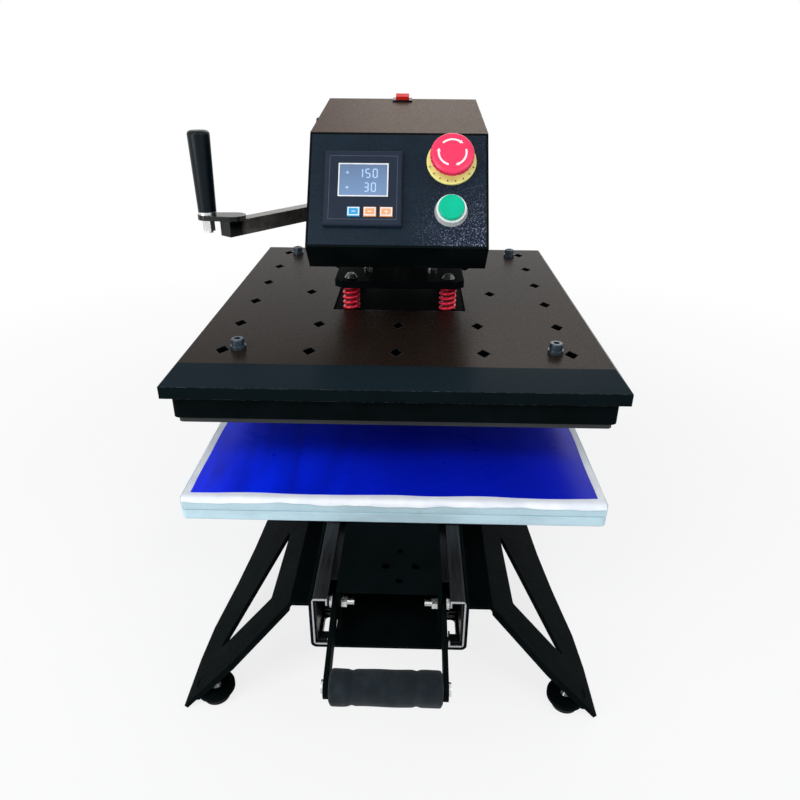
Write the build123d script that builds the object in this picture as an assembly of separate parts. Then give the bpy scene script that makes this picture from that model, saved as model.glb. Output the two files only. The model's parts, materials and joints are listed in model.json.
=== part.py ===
from build123d import *
import math
import os

# Pneumatic heat press with a swing-away head and a pull-out lower platen, in millimetres.
# +X is the operator's right, -Y is the operator's side, +Z is up, and z = 0 is the table.
# The drawing origin is under the centre of the platens; the export moves the parts so that
# the origin is the bottom centre of the whole machine.

# Base: a folded deck on two sloping side plates
deck_z = 105.0
deck_half_w = 93.5
deck_t = 4.0
deck_front_y = -340.0
base_mid_y = 20.0
side_angle = 45.0
side_length = 143.0
tip_reach = 33.0
window_in = 32.0
window_out = 110.0
front_flange = 6.0
tab_r = 18.0
tab_t = 4.0
tab_x = 168.0
tab_front_y = -356.0
foot_h = 10.0
foot_r = 14.0

# Small screws used all over
small_screw_r = 3.0
small_hole_r = 3.2
small_head_r = 5.2

# Slide tray and telescopic slides
tray_front_y = -392.0
slide_overlap = 164.0
tray_half_w = 66.0
tray_t = 2.5
tray_h = 52.0
window_x = 52.0
window_back = 23.0
window_w = 11.0
window_l = 22.0
slide_h = 50.0
slide_w = 19.5
slide_t = 1.4
slide_play = 0.3
slide_web_play = 0.6
drawer_travel = 400.0
drawer_out = 36.0

# Carriage, lower platen and its covers
carriage_t = 3.0
carriage_front_y = -382.0
carriage_rear_y = 150.0
carriage_wall_h = 44.0
platen_w = 405.0
platen_l = 505.0
lower_t = 10.0
pad_t = 14.0
sheet_t = 0.6
film_t = 0.4
film_w = 392.0
film_l = 492.0

# Pull handle of the drawer
arm_t = 4.0
arm_h = 18.0
arm_bolt_y = -373.0
arm_bolt_drop = 20.0
grip_y = -445.0
grip_z = 120.0
grip_r = 14.5
grip_bar_r = 7.0

# Swing column
column_y = 345.0
column_r = 38.0
column_wall = 6.0
column_solid_h = 40.0
flange_w = 126.0
flange_trim = 22.0
flange_t = 10.0
pivot_r = 20.0
pivot_play = 0.05
pivot_seat = 30.0
bush_wall = 5.0
bush_flange_t = 3.0
hub_wall = 10.0
hub_h = 76.0
hub_sink = 22.0

# Swinging head
head_floor_z = 373.0
head_floor_t = 10.0
head_floor_rear_y = 130.0
beam_w = 80.0
beam_h = 48.0
beam_tail_half = 46.0
beam_wall = 5.0
beam_front_y = 60.0
box_half_w = 85.0
box_wall = 2.0
panel_foot_y = -191.0
panel_foot_z = 398.0
panel_head_y = -122.0
panel_head_z = 491.0
chin_y = -168.0
box_rear_y = 48.0
box_rear_z = 514.0

# Air cylinder and guide rods
bore_r = 33.0
barrel_wall = 4.0
cap_half = 40.0
rod_cap_t = 12.0
top_cap_t = 13.0
barrel_room = 12.0
piston_t = 12.0
piston_play = 0.05
rod_r = 9.0
stroke = 60.0
return_wire_r = 1.3
return_coil_r = 24.0
return_turns = 5
guide_x = 37.5
guide_y = 32.0
guide_r = 7.0
guide_l = 128.0
guide_bush_wall = 4.0
guide_bush_l = 24.0

# Floating upper platen
bridge_half = 73.5
bridge_t = 8.0
spring_room = 7.0
bolt_pitch = 112.0
float_travel = 5.0
spring_wire_r = 1.9
spring_coil_r = 8.1
spring_turns = 5
float_bolt_r = 4.0
float_head_r = 7.5
float_head_h = 4.5
mount_half = 78.0
mount_t = 6.0
press_play = 0.6
heat_w = 410.0
heat_l = 504.0
heat_t = 24.0
heat_band = 6.0
skirt_wall = 2.0
skirt_play = 1.5
cover_t = 1.5
cover_top_w = 415.0
cover_top_l = 454.0
cover_lip_w = 431.0
cover_lip_l = 525.0
cover_drop = 9.0
cover_lip_h = 12.0
wool_t = 8.0
cover_rise = 12.0
cutout_half_w = 76.5
cutout_half_l = 66.5
diamond_w = 14.0
diamond_l = 21.0
diamond_pitch_x = 86.4
diamond_pitch_y = 77.3
corner_x = 158.0
corner_y = 188.0
spacer_h = 3.5
spacer_r = 7.8
cap_head_r = 6.5
cap_head_h = 7.0
screw_r = 4.0

# Controls on the sloping panel, measured up the panel from its lower edge
controller_x = -32.5
controller_s = 57.0
controller_w = 73.0
controller_h = 75.0
controller_depth = 42.0
bezel_t = 5.0
glass_w = 45.0
glass_h = 31.5
glass_s = 64.5
key_w = 12.0
key_h = 9.5
key_s = 32.5
key_pitch = 15.2
key_shift = 7.0
key_travel = 0.8
key_play = 0.25
key_sunk = 2.4
key_proud = 1.3
button_x = 50.0
button_s = 36.5
button_ring_r = 15.6
button_cap_r = 12.0
button_travel = 3.0
estop_s = 86.0
estop_ring_r = 23.4
estop_head_r = 20.5
estop_travel = 4.0
stem_r = 5.0
running_play = 0.1
rocker_w = 15.0
rocker_top = 6.5
rocker_half_l = 4.9
rocker_tilt = 9.0

# Mains inlet on the rear panel, silencer on the left side, regulator behind the box
inlet_x = -65.0
inlet_z = 456.0
silencer_y = -18.0
silencer_z = 493.0
regulator_out = 24.0
regulator_back = 62.0
switch_back = 12.0
hose_x = 62.0

# Swing handle on the left of the head
swing_arm_w = 16.0
swing_arm_wall = 2.0
swing_foot_t = 4.0
swing_foot_y = 24.0
swing_elbow_x = -176.0
swing_elbow_y = -89.0
swing_grip_x = -203.5
swing_grip_y = -88.0
swing_plate_t = 5.0
swing_grip_l = 80.0
swing_grip_r0 = 9.4
swing_grip_r1 = 11.4

# Heights that follow
tray_z = deck_z
tray_rear_y = tray_front_y + drawer_travel + slide_overlap + drawer_out
lower_mid_y = -drawer_out
tray_floor_z = tray_z + tray_t
carriage_z = tray_z + tray_h + 2.0
pad_z = carriage_z + lower_t + pad_t
sheet_z = pad_z + sheet_t
film_z = sheet_z + film_t
heater_z = film_z + stroke + press_play
heat_top_z = heater_z + heat_t
cover_z = heat_top_z + wool_t + mount_t + cover_rise
mount_z = cover_z - 3.0
bridge_z = mount_z + 2 * spring_wire_r * spring_turns + float_travel + spring_room
head_top_z = head_floor_z + head_floor_t
column_top_z = head_top_z - hub_sink - bush_flange_t
cap_top_z = head_top_z + rod_cap_t
barrel_top_z = cap_top_z + barrel_room + stroke + piston_t
side_drop = math.radians(side_angle)
slide_x1 = tray_half_w - tray_t
slide_x0 = slide_x1 - slide_w
carriage_half_w = slide_x0
grip_front_y = grip_y - grip_r
plate_tip_y = deck_front_y - tip_reach
rear_y = 2 * base_mid_y - tab_front_y + tab_r
middle_shift = -(grip_front_y + rear_y) / 2


def block(x0, x1, y0, y1, z0, z1):
    """A box between two corners."""
    size = Box(x1 - x0, y1 - y0, z1 - z0)
    return Pos((x0 + x1) / 2, (y0 + y1) / 2, (z0 + z1) / 2) * size


def post(x, y, z0, z1, r):
    """An upright cylinder between two heights."""
    return Pos(x, y, (z0 + z1) / 2) * Cylinder(r, z1 - z0)


def bar_x(x0, x1, y, z, r):
    """A cylinder along X between two places."""
    return Pos((x0 + x1) / 2, y, z) * Rot(0, 90, 0) * Cylinder(r, abs(x1 - x0))


def both(shape):
    """A shape and its mirror image across the machine's centre plane."""
    return [shape, mirror(shape, about=Plane.YZ)]


def join(shapes):
    """Separate solids kept as one group, or one solid where they touch."""
    total = shapes[0]
    for shape in shapes[1:]:
        total = total + shape
    return total


def prism_x(points, x0, x1):
    """A closed Y-Z outline pushed along X."""
    face = Plane.YZ * Polygon(*points, align=None)
    return Pos(x0, 0, 0) * extrude(face, amount=x1 - x0, dir=(1, 0, 0))


def prism_y(points, y0, y1):
    """A closed X-Z outline pushed along Y."""
    face = Plane.XZ * Polygon(*points, align=None)
    return Pos(0, y0, 0) * extrude(face, amount=y1 - y0, dir=(0, 1, 0))


def frustum(w0, l0, z0, w1, l1, z1):
    """A four-sided tapered block between two rectangles."""
    low = Pos(0, 0, z0) * Rectangle(w0, l0)
    high = Pos(0, 0, z1) * Rectangle(w1, l1)
    return loft([low.face(), high.face()])


def coil(radius, wire_r, z0, z1, turns, ground):
    """One open coil of half-turn arcs, flattened at both ends where it is seated."""
    half_turns = 2 * turns
    low = z0 - ground + wire_r
    high = z1 + ground - wire_r
    rise = (high - low) / half_turns
    edges = []
    for k in range(half_turns):
        side = 1 if k % 2 == 0 else -1
        start = Vector(side * radius, 0, low + k * rise)
        end = Vector(-side * radius, 0, low + (k + 1) * rise)
        middle = Vector(0, side * radius, low + (k + 0.5) * rise)
        quarter = math.atan2(rise, math.pi * radius)
        flat = Vector(0, side * math.cos(quarter), math.sin(quarter))
        first = TangentArc(start, middle, tangent=flat)
        second = TangentArc(middle, end, tangent=first % 1)
        edges += [first, second]
    path = Wire(edges)
    section = Plane(origin=path @ 0, z_dir=path % 0) * Circle(wire_r)
    tube = sweep(section, path=path)
    samples = [path @ (i / 400) for i in range(401)]
    per_turn = 400 // turns
    least = min(
        (samples[i] - samples[j]).length
        for i in range(0, 401, 4)
        for j in range(i + per_turn * 3 // 4, 401, 2)
    )
    print("coil gap to itself", round(least - 2 * wire_r, 2), "mm")
    span = Pos(0, 0, (z0 + z1) / 2) * Box(4 * radius, 4 * radius, z1 - z0)
    return tube & span


# The panel's own frame: its origin is the middle of the lower edge on the outer face,
# x runs to the right, y runs up the slope and z points out at the operator.
panel_rise = math.hypot(panel_head_y - panel_foot_y, panel_head_z - panel_foot_z)
panel_up_y = (panel_head_y - panel_foot_y) / panel_rise
panel_up_z = (panel_head_z - panel_foot_z) / panel_rise
panel_plane = Plane(
    origin=(0, panel_foot_y, panel_foot_z),
    x_dir=(1, 0, 0),
    z_dir=(0, -panel_up_z, panel_up_y),
)


def on_panel(x, s, shape):
    """Set a shape drawn about (0, 0, 0) at a place on the sloping panel."""
    return panel_plane * Pos(x, s, 0) * shape


# Base

def slope_plane():
    """The right side plate's outer face: x runs back, y runs down the slope."""
    return Plane(
        origin=(deck_half_w, 0, deck_z),
        x_dir=(0, 1, 0),
        z_dir=(-math.sin(side_drop), 0, -math.cos(side_drop)),
    )


def base_deck():
    """Flat top of the base, mitred where the sloping sides are welded on."""
    mitre = deck_t * math.tan(side_drop / 2)
    half = [
        (-deck_half_w, deck_z),
        (deck_half_w, deck_z),
        (deck_half_w - mitre, deck_z - deck_t),
        (-deck_half_w + mitre, deck_z - deck_t),
    ]
    rear = 2 * base_mid_y - deck_front_y
    plate = prism_y(half, deck_front_y, rear)
    for x, y in tray_screw_places():
        plate -= post(x, y, deck_z - deck_t - 1, deck_z + 1, small_hole_r)
    for x, y in flange_screw_places():
        plate -= post(x, y, deck_z - deck_t - 1, deck_z + 1, 4.2)
    return plate


def side_plate():
    """Right sloping side plate with two triangular windows, end flanges and foot tabs."""
    reach = side_length
    cos_a = math.cos(side_drop)
    sin_a = math.sin(side_drop)
    mitre = deck_t * math.tan(side_drop / 2)
    profile = [
        (deck_half_w, deck_z),
        (deck_half_w + reach * cos_a, deck_z - reach * sin_a),
        (
            deck_half_w + reach * cos_a - deck_t * sin_a,
            deck_z - reach * sin_a - deck_t * cos_a,
        ),
        (deck_half_w - mitre, deck_z - deck_t),
    ]
    tip_y = plate_tip_y
    rear = 2 * base_mid_y
    slab = prism_y(profile, tip_y - 4, rear - tip_y + 4)
    front_edge = [(deck_front_y, 0), (deck_front_y - 0.74 * tip_reach, 0.56 * reach), (tip_y, reach)]
    arch = [
        (deck_front_y + 22, reach),
        (deck_front_y + 62, 0.965 * reach),
        (deck_front_y + 117, 0.83 * reach),
        (deck_front_y + 167, 0.74 * reach),
        (deck_front_y + 216, 0.685 * reach),
        (base_mid_y - 60, 0.64 * reach),
    ]
    half_outline = front_edge + arch
    outline = half_outline + [(rear - y, s) for y, s in reversed(half_outline)]
    inward = slope_plane().z_dir
    face = slope_plane() * Polygon(*outline, align=None)
    plate = slab & extrude(face, amount=3 * deck_t, dir=inward, both=True)
    apex = (deck_front_y + 140, window_in)
    inner = (deck_front_y + 31, window_in + 3)
    outer = (deck_front_y + 13, window_out)
    for flip in (False, True):
        corners = [apex, inner, outer]
        edge = front_edge
        strip = edge + [(y + deck_t, s) for y, s in reversed(edge)]
        if flip:
            corners = [(rear - y, s) for y, s in corners]
            strip = [(rear - y, s) for y, s in strip]
        window = Polygon(*corners, align=None)
        window = fillet(window.vertices(), 3.0)
        plate -= extrude(slope_plane() * window, amount=2 * deck_t, dir=inward, both=True)
        lip_face = slope_plane() * Polygon(*strip, align=None)
        lip = extrude(lip_face, amount=front_flange, dir=inward)
        plate += lip & block(deck_half_w + 0.2, 260, -600, 600, foot_h, deck_z - 0.6)
        tab_y = rear - tab_front_y if flip else tab_front_y
        plate += foot_tab(tab_x, tab_y)
    for y in (tab_front_y, rear - tab_front_y):
        plate -= post(tab_x, y, foot_h - 1, foot_h + tab_t + 1, small_hole_r)
    return plate


def foot_tab(x, y):
    """Level round-ended tab that holds a rubber foot under the side plate."""
    end_x = deck_half_w + (deck_z - foot_h - tab_t) / math.tan(side_drop) - deck_t * 0.5
    disc = post(x, y, foot_h, foot_h + tab_t, tab_r)
    half = tab_r - tab_t
    tongue = block(x, end_x, y - half, y + half, foot_h, foot_h + tab_t)
    return disc + tongue


def foot_places():
    rear = 2 * base_mid_y - tab_front_y
    return [(sx * tab_x, y) for y in (tab_front_y, rear) for sx in (-1, 1)]


def rubber_feet():
    """Four round rubber feet with a blind hole for the screw."""
    feet = []
    for x, y in foot_places():
        foot = Pos(x, y, foot_h / 2) * Cone(foot_r - 1.5, foot_r, foot_h)
        foot -= post(x, y, 3, foot_h + 1, small_hole_r)
        feet.append(foot)
    return join(feet)


def tray_screw_places():
    reach = carriage_half_w - 14.0
    rows = [deck_front_y + 60 + 110 * k for k in range(4)]
    return [(sx * reach, y) for y in rows for sx in (-1, 1)]


def flange_screw_places():
    reach = flange_w / 2 - 14
    deep = reach - flange_trim
    return [(sx * reach, column_y + sy * deep) for sy in (-1, 1) for sx in (-1, 1)]


def button_screw(x, y, z, length, head_r, head_h):
    """Domed screw, its head's underside at z and its shank pointing down."""
    head = Pos(x, y, z + head_h / 2) * Cone(head_r, head_r * 0.62, head_h)
    head -= Pos(x, y, z + head_h - 1) * extrude(RegularPolygon(head_r * 0.36, 6), amount=2)
    return head + post(x, y, z - length, z, small_screw_r)


def base_screws():
    """Button-head screws of the feet, the slide tray and the column's flange."""
    screws = []
    for x, y in foot_places():
        screws.append(button_screw(x, y, foot_h + tab_t, 9, small_head_r, 2.8))
    for x, y in tray_screw_places():
        screws.append(button_screw(x, y, tray_floor_z, 8, small_head_r, 2.6))
    for x, y in flange_screw_places():
        screws.append(button_screw(x, y, deck_z + flange_t, 18, 8.0, 5.0))
    return join(screws)


def slide_tray():
    """Open channel that carries both slides, with see-through windows at its front."""
    outer = block(-tray_half_w, tray_half_w, tray_front_y, tray_rear_y, tray_z, tray_z + tray_h)
    outer = fillet(outer.edges().filter_by(Axis.Y).group_by(Axis.Z)[0], 5.0)
    inner = block(
        -slide_x1, slide_x1, tray_front_y - 1, tray_rear_y - tray_t, tray_floor_z, tray_z + 99
    )
    inner = fillet(inner.edges().filter_by(Axis.Y).group_by(Axis.Z)[0], 2.5)
    tray = outer - inner
    window_y = tray_front_y + window_back
    for sx in (-1, 1):
        slot = Pos(sx * window_x, window_y) * RectangleRounded(window_w, window_l, 3.5)
        tray -= extrude(Pos(0, 0, tray_z - 1) * slot, amount=tray_t + 2)
    for x, y in tray_screw_places():
        tray -= post(x, y, tray_z - 1, tray_floor_z + 1, small_hole_r)
    return tray


# Telescopic slides, drawn for the right side and mirrored

def slide_z():
    return tray_floor_z + 0.4


def front_slot():
    """Slot through the lower flanges, over the window in the tray's floor."""
    x = window_x - window_w / 2
    y = tray_front_y + window_back - window_l / 2
    return block(x, x + window_w, y, y + window_l, tray_z, slide_z() + 9)


def slide_outer():
    """Outer channel screwed to the tray wall, with lips that trap the middle member."""
    z0 = slide_z()
    z1 = z0 + slide_h
    length = (tray_front_y + 0.0, tray_rear_y - tray_t - 0.5)
    body = block(slide_x0 + 6.5, slide_x1, length[0], length[1], z0, z1)
    body = fillet(body.edges().filter_by(Axis.Y).group_by(Axis.X)[-1], 3.0)
    body -= block(
        slide_x0, slide_x1 - slide_t, length[0] - 1, length[1] + 1, z0 + slide_t, z1 - slide_t
    )
    lip_x = slide_x0 + 6.5
    for low, high in ((z0, z0 + 6.5), (z1 - 6.5, z1)):
        body += block(lip_x, lip_x + slide_t, length[0], length[1], low, high)
    return body - front_slot()


def slide_middle():
    """Middle channel that runs in the outer one."""
    z0 = slide_z() + slide_t + slide_play
    z1 = slide_z() + slide_h - slide_t - slide_play
    x1 = slide_x1 - slide_t - slide_web_play
    x0 = slide_x0 + 6.5 + slide_t + slide_play
    y0 = tray_front_y + 3.0
    y1 = tray_rear_y - tray_t - 3.0 - drawer_out / 2
    body = block(x0, x1, y0, y1, z0, z1)
    body -= block(x0 - 1, x1 - slide_t, y0 - 1, y1 + 1, z0 + slide_t, z1 - slide_t)
    return body - front_slot()


def slide_inner():
    """Inner channel screwed to the carriage, its flanges reaching into the middle one."""
    clear = 6.8
    z0 = slide_z() + clear
    z1 = slide_z() + slide_h - clear
    x1 = slide_x1 - 2 * slide_t - slide_web_play - slide_play
    y0 = arm_bolt_y + 14.0
    y1 = carriage_rear_y - 2.0
    body = block(slide_x0, x1, y0, y1, z0, z1)
    body -= block(slide_x0 + slide_t, x1 + 1, y0 - 1, y1 + 1, z0 + slide_t, z1 - slide_t)
    return body


# Drawer

def platen_screw_places():
    return [(sx * 26.0, y) for y in (-232.0, 0.0, 128.0) for sx in (-1, 1)]


def carriage():
    """Inverted channel between the slides, open at the front, with lightening holes."""
    z0 = carriage_z - carriage_wall_h
    body = block(
        -carriage_half_w, carriage_half_w, carriage_front_y, carriage_rear_y, z0, carriage_z
    )
    inside = carriage_half_w - carriage_t
    body -= block(
        -inside, inside, carriage_front_y - 1, carriage_rear_y + 1, z0 - 1, carriage_z - carriage_t
    )
    for x, y, r in ((8, -330, 3.0), (-4, -350, 4.0), (22, -350, 4.0), (8, -368, 3.5)):
        body -= post(x, y, carriage_z - carriage_t - 1, carriage_z + 1, r)
    for x, y in platen_screw_places():
        body -= post(x, y, carriage_z - carriage_t - 1, carriage_z + 1, small_hole_r)
    bolt_z = carriage_z - arm_bolt_drop
    body -= bar_x(-carriage_half_w - 1, carriage_half_w + 1, arm_bolt_y, bolt_z, small_hole_r)
    return body


def lower_platen():
    """Flat plate screwed to the carriage under the pad."""
    half_w = platen_w / 2
    half_l = platen_l / 2
    y = lower_mid_y
    plate = block(-half_w, half_w, y - half_l, y + half_l, carriage_z, carriage_z + lower_t)
    plate = fillet(plate.edges().filter_by(Axis.Z), 6.0)
    for x, y in platen_screw_places():
        plate -= post(x, y, carriage_z - 1, carriage_z + 7.0, small_hole_r)
    return plate


def platen_screws():
    """Screws up through the carriage into the lower platen."""
    screws = []
    for x, y in platen_screw_places():
        z = carriage_z - carriage_t
        head = post(x, y, z - 3.0, z, small_head_r)
        screws.append(head + post(x, y, z, carriage_z + 6.0, small_screw_r))
    return join(screws)


def silicone_pad():
    """Silicone foam pad that covers the lower platen."""
    half_w = platen_w / 2
    half_l = platen_l / 2
    z0 = carriage_z + lower_t
    pad = block(-half_w, half_w, lower_mid_y - half_l, lower_mid_y + half_l, z0, pad_z)
    pad = fillet(pad.edges().filter_by(Axis.Z), 6.0)
    return fillet(pad.edges().group_by(Axis.Z)[-1], 2.0)


def white_sheet():
    """Thin white cloth laid over the pad."""
    half_w = platen_w / 2 - 2.5
    half_l = platen_l / 2 - 2.5
    return block(-half_w, half_w, lower_mid_y - half_l, lower_mid_y + half_l, pad_z, sheet_z)


def blue_film():
    """Glossy release film laid on the cloth."""
    y0 = lower_mid_y - film_l / 2
    return block(-film_w / 2, film_w / 2, y0, y0 + film_l, sheet_z, film_z)


def arm_angle():
    bolt_z = carriage_z - arm_bolt_drop
    return math.degrees(math.atan2(bolt_z - grip_z, arm_bolt_y - grip_y))


def handle_arms():
    """Two flat bars from the carriage to the grip."""
    bolt_z = carriage_z - arm_bolt_drop
    run = math.hypot(arm_bolt_y - grip_y, bolt_z - grip_z)
    x0 = carriage_half_w
    bar = Pos(run / 2, 0) * SlotCenterToCenter(run, arm_h)
    bar -= Pos(run, 0) * Circle(small_hole_r)
    bar -= Circle(small_hole_r)
    place = Plane(origin=(x0, grip_y, grip_z), x_dir=(0, 1, 0), z_dir=(1, 0, 0))
    arm = place * Rot(0, 0, arm_angle()) * extrude(bar, amount=arm_t)
    return join(both(arm))


def handle_rod():
    """Steel bar inside the grip, drilled and tapped at both ends."""
    bar = bar_x(-carriage_half_w, carriage_half_w, grip_y, grip_z, grip_bar_r)
    for sx in (-1, 1):
        bar -= bar_x(sx * (carriage_half_w - 12), sx * (carriage_half_w + 1), grip_y, grip_z, small_hole_r)
    return bar


def handle_grip():
    """Foam sleeve on the steel bar."""
    half = carriage_half_w - 0.4
    sleeve = bar_x(-half, half, grip_y, grip_z, grip_r)
    sleeve = fillet(sleeve.edges(), 3.0)
    return sleeve - bar_x(-99, 99, grip_y, grip_z, grip_bar_r)


def handle_bolts():
    """Two bolts with nuts at the carriage and two screws at the grip's bar."""
    bolt_z = carriage_z - arm_bolt_drop
    face = carriage_half_w + arm_t
    nut_x = carriage_half_w - carriage_t
    bolt = bar_x(nut_x - 11, face, arm_bolt_y, bolt_z, small_screw_r)
    bolt += bar_x(face, face + 3.0, arm_bolt_y, bolt_z, small_head_r)
    nut_plane = Plane(origin=(nut_x - 5, arm_bolt_y, bolt_z), z_dir=(1, 0, 0))
    nut = nut_plane * RegularPolygon(5.0, 6)
    bolt += extrude(nut, amount=5)
    screw = bar_x(carriage_half_w - 11, face, grip_y, grip_z, small_screw_r)
    screw += bar_x(face, face + 2.0, grip_y, grip_z, small_head_r)
    return join(both(bolt) + both(screw))


# Swing column and pivot

def swing_column():
    """Flanged tube bolted to the deck, with a solid top that holds the pivot."""
    half = flange_w / 2
    deep = half - flange_trim
    foot = block(-half, half, column_y - deep, column_y + deep, deck_z, deck_z + flange_t)
    foot = fillet(foot.edges().filter_by(Axis.Z), 6.0)
    tube = post(0, column_y, deck_z + flange_t, column_top_z, column_r)
    solid_z = column_top_z - column_solid_h
    tube -= post(0, column_y, deck_z + flange_t, solid_z, column_r - column_wall)
    body = foot + tube
    body -= post(0, column_y, column_top_z - pivot_seat, column_top_z + 1, pivot_r)
    for x, y in flange_screw_places():
        body -= post(x, y, deck_z - 1, deck_z + flange_t + 1, 4.2)
    return body


def hub_z():
    return column_top_z + bush_flange_t


def pivot_shaft():
    """Fixed pin that the head swings on, with a retaining cap on its top."""
    top = hub_z() + hub_h + bush_flange_t
    shaft = post(0, column_y, column_top_z - pivot_seat, top + 0.3, pivot_r)
    cap = post(0, column_y, top + 0.3, top + 6.3, pivot_r + bush_wall + 6)
    cap = fillet(cap.edges().group_by(Axis.Z)[-1], 2.0)
    return shaft + cap


def hub_bushes():
    """Flanged bronze bushes in both ends of the hub."""
    bushes = []
    length = 26.0
    inner = pivot_r + pivot_play
    outer = pivot_r + bush_wall
    low_end = (hub_z(), hub_z() - bush_flange_t)
    high_end = (hub_z() + hub_h - length, hub_z() + hub_h)
    for low, flange in (low_end, high_end):
        sleeve = post(0, column_y, low, low + length, outer)
        ring = post(0, column_y, flange, flange + bush_flange_t, outer + 6)
        bush = sleeve + ring
        bush -= post(0, column_y, low - 9, low + length + 9, inner)
        bushes.append(bush)
    return join(bushes)


# Swinging head

def swing_beam():
    """Hub, box-section arm and floor plate, welded up, that carry the head."""
    hub_r = pivot_r + bush_wall + hub_wall
    hub = post(0, column_y, hub_z(), hub_z() + hub_h, hub_r)
    z0 = head_top_z
    arm = block(-beam_w / 2, beam_w / 2, beam_front_y, column_y, z0, z0 + beam_h)
    inside = beam_w / 2 - beam_wall
    arm -= block(
        -inside, inside, beam_front_y - 1, column_y - hub_r - 4,
        z0 + beam_wall, z0 + beam_h - beam_wall
    )
    body = hub + arm + head_plate()
    body -= post(0, column_y, hub_z() - 1, hub_z() + hub_h + 1, pivot_r + bush_wall)
    return body


def head_plate():
    """Thick floor of the head, welded under the arm, for the cylinder and the guide bushes."""
    half = box_half_w - box_wall
    plate = block(-half, half, chin_y + 4, head_floor_rear_y, head_floor_z, head_top_z)
    for sx in (-1, 1):
        x0 = min(sx * beam_tail_half, sx * (half + 1))
        x1 = max(sx * beam_tail_half, sx * (half + 1))
        plate -= block(
            x0, x1, box_rear_y, head_floor_rear_y + 1, head_floor_z - 1, head_top_z + 1
        )
    plate -= post(0, 0, head_floor_z - 1, head_top_z + 1, rod_r + 1.0)
    for x, y in guide_places():
        plate -= post(x, y, head_floor_z - 1, head_top_z + 1, guide_r + guide_bush_wall)
    return plate


def guide_places():
    return [(sx * guide_x, sy * guide_y) for sy in (-1, 1) for sx in (-1, 1)]


def guide_bushes():
    """Four flanged bushes that line the guide rods."""
    bushes = []
    outer = guide_r + guide_bush_wall
    for x, y in guide_places():
        bush = post(x, y, head_floor_z - 8, head_floor_z - 8 + guide_bush_l, outer)
        bush += post(x, y, head_floor_z - 4, head_floor_z, outer + 2.5)
        bush -= post(x, y, head_floor_z - 9, head_top_z + 20, guide_r + running_play / 2)
        bushes.append(bush)
    return join(bushes)


def cap_block(z0, z1):
    """Octagonal end cap of the cylinder, cut clear of the guide bushes."""
    cap = block(-cap_half, cap_half, -cap_half, cap_half, z0, z1)
    cap = chamfer(cap.edges().filter_by(Axis.Z), 27.0)
    return cap


def cylinder_rod_cap():
    """Lower cap that guides the piston rod, with a pocket for the return spring."""
    cap = cap_block(head_top_z, cap_top_z)
    cap -= post(0, 0, head_top_z - 1, cap_top_z + 1, rod_r + running_play / 2)
    ring = post(0, 0, cap_top_z - 5, cap_top_z + 1, return_coil_r + 3)
    ring -= post(0, 0, cap_top_z - 6, cap_top_z + 2, return_coil_r - 3)
    return cap - ring


def cylinder_top_cap():
    """Upper cap with its air port."""
    cap = cap_block(barrel_top_z, barrel_top_z + top_cap_t)
    cap -= post(0, 0, barrel_top_z - 1, barrel_top_z + 6, 5.0)
    port = Pos(0, -cap_half / 2, barrel_top_z + 6) * Rot(90, 0, 0) * Cylinder(4.0, cap_half + 2)
    return cap - port


def cylinder_barrel():
    """Drawn tube between the two caps."""
    tube = post(0, 0, cap_top_z, barrel_top_z, bore_r + barrel_wall)
    return tube - post(0, 0, cap_top_z - 1, barrel_top_z + 1, bore_r)


def piston_rod():
    """Piston with its seal groove, and the rod down to the bridge plate."""
    top = barrel_top_z - 0.5
    low = top - piston_t
    piston = post(0, 0, low, top, bore_r - piston_play)
    groove = post(0, 0, low + 4, low + 8, bore_r + 1) - post(0, 0, low + 3, low + 9, bore_r - 3)
    piston -= groove
    return piston + post(0, 0, bridge_z + bridge_t, low, rod_r)


def return_spring():
    """Spring under the piston that lifts the platen when the air is let out."""
    low = cap_top_z - 5
    high = barrel_top_z - 0.5 - piston_t
    return coil(return_coil_r, return_wire_r, low, high, return_turns, 0.4)


def guide_rods():
    """Four ground rods that keep the platen level."""
    z0 = bridge_z + bridge_t
    rods = []
    for x, y in guide_places():
        rod = post(x, y, z0, z0 + guide_l, guide_r)
        rods.append(chamfer(rod.edges().group_by(Axis.Z)[-1], 1.0))
    return join(rods)


def bolt_places():
    half = bolt_pitch / 2
    return [(sx * half, sy * half) for sy in (-1, 1) for sx in (-1, 1)]


def bridge_plate():
    """Plate under the rod and the guide rods that the platen hangs from."""
    plate = block(-bridge_half, bridge_half, -bridge_half, bridge_half, bridge_z, bridge_z + bridge_t)
    plate = chamfer(plate.edges().filter_by(Axis.Z), 9.0)
    for x, y in bolt_places():
        plate -= post(x, y, bridge_z - 1, bridge_z + bridge_t + 1, float_bolt_r + running_play / 2)
    return plate


# Floating upper platen

def float_bolts():
    """Shoulder bolts through the bridge plate; the platen hangs on their heads."""
    bolts = []
    seat = bridge_z + bridge_t
    for x, y in bolt_places():
        dome = Cone(float_head_r, float_head_r * 0.55, float_head_h)
        head = Pos(x, y, seat + float_head_h / 2) * dome
        head -= Pos(x, y, seat + float_head_h - 2) * extrude(RegularPolygon(2.6, 6), amount=3)
        bolts.append(head + post(x, y, mount_z - mount_t + 1, seat, float_bolt_r))
    return join(bolts)


def platen_springs():
    """Four red die springs between the mounting plate and the bridge plate."""
    one = coil(spring_coil_r, spring_wire_r, mount_z, bridge_z, spring_turns, 0.5)
    return join([Pos(x, y, 0) * one for x, y in bolt_places()])


def mount_plate():
    """Steel plate on the heater that seats the springs and takes the shoulder bolts."""
    plate = block(-mount_half, mount_half, -mount_half, mount_half, mount_z - mount_t, mount_z)
    plate += block(-60, 60, -60, 60, heat_top_z, mount_z - mount_t)
    for x, y in bolt_places():
        plate -= post(x, y, mount_z - mount_t + 1, mount_z + 1, float_bolt_r)
    return plate


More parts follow.
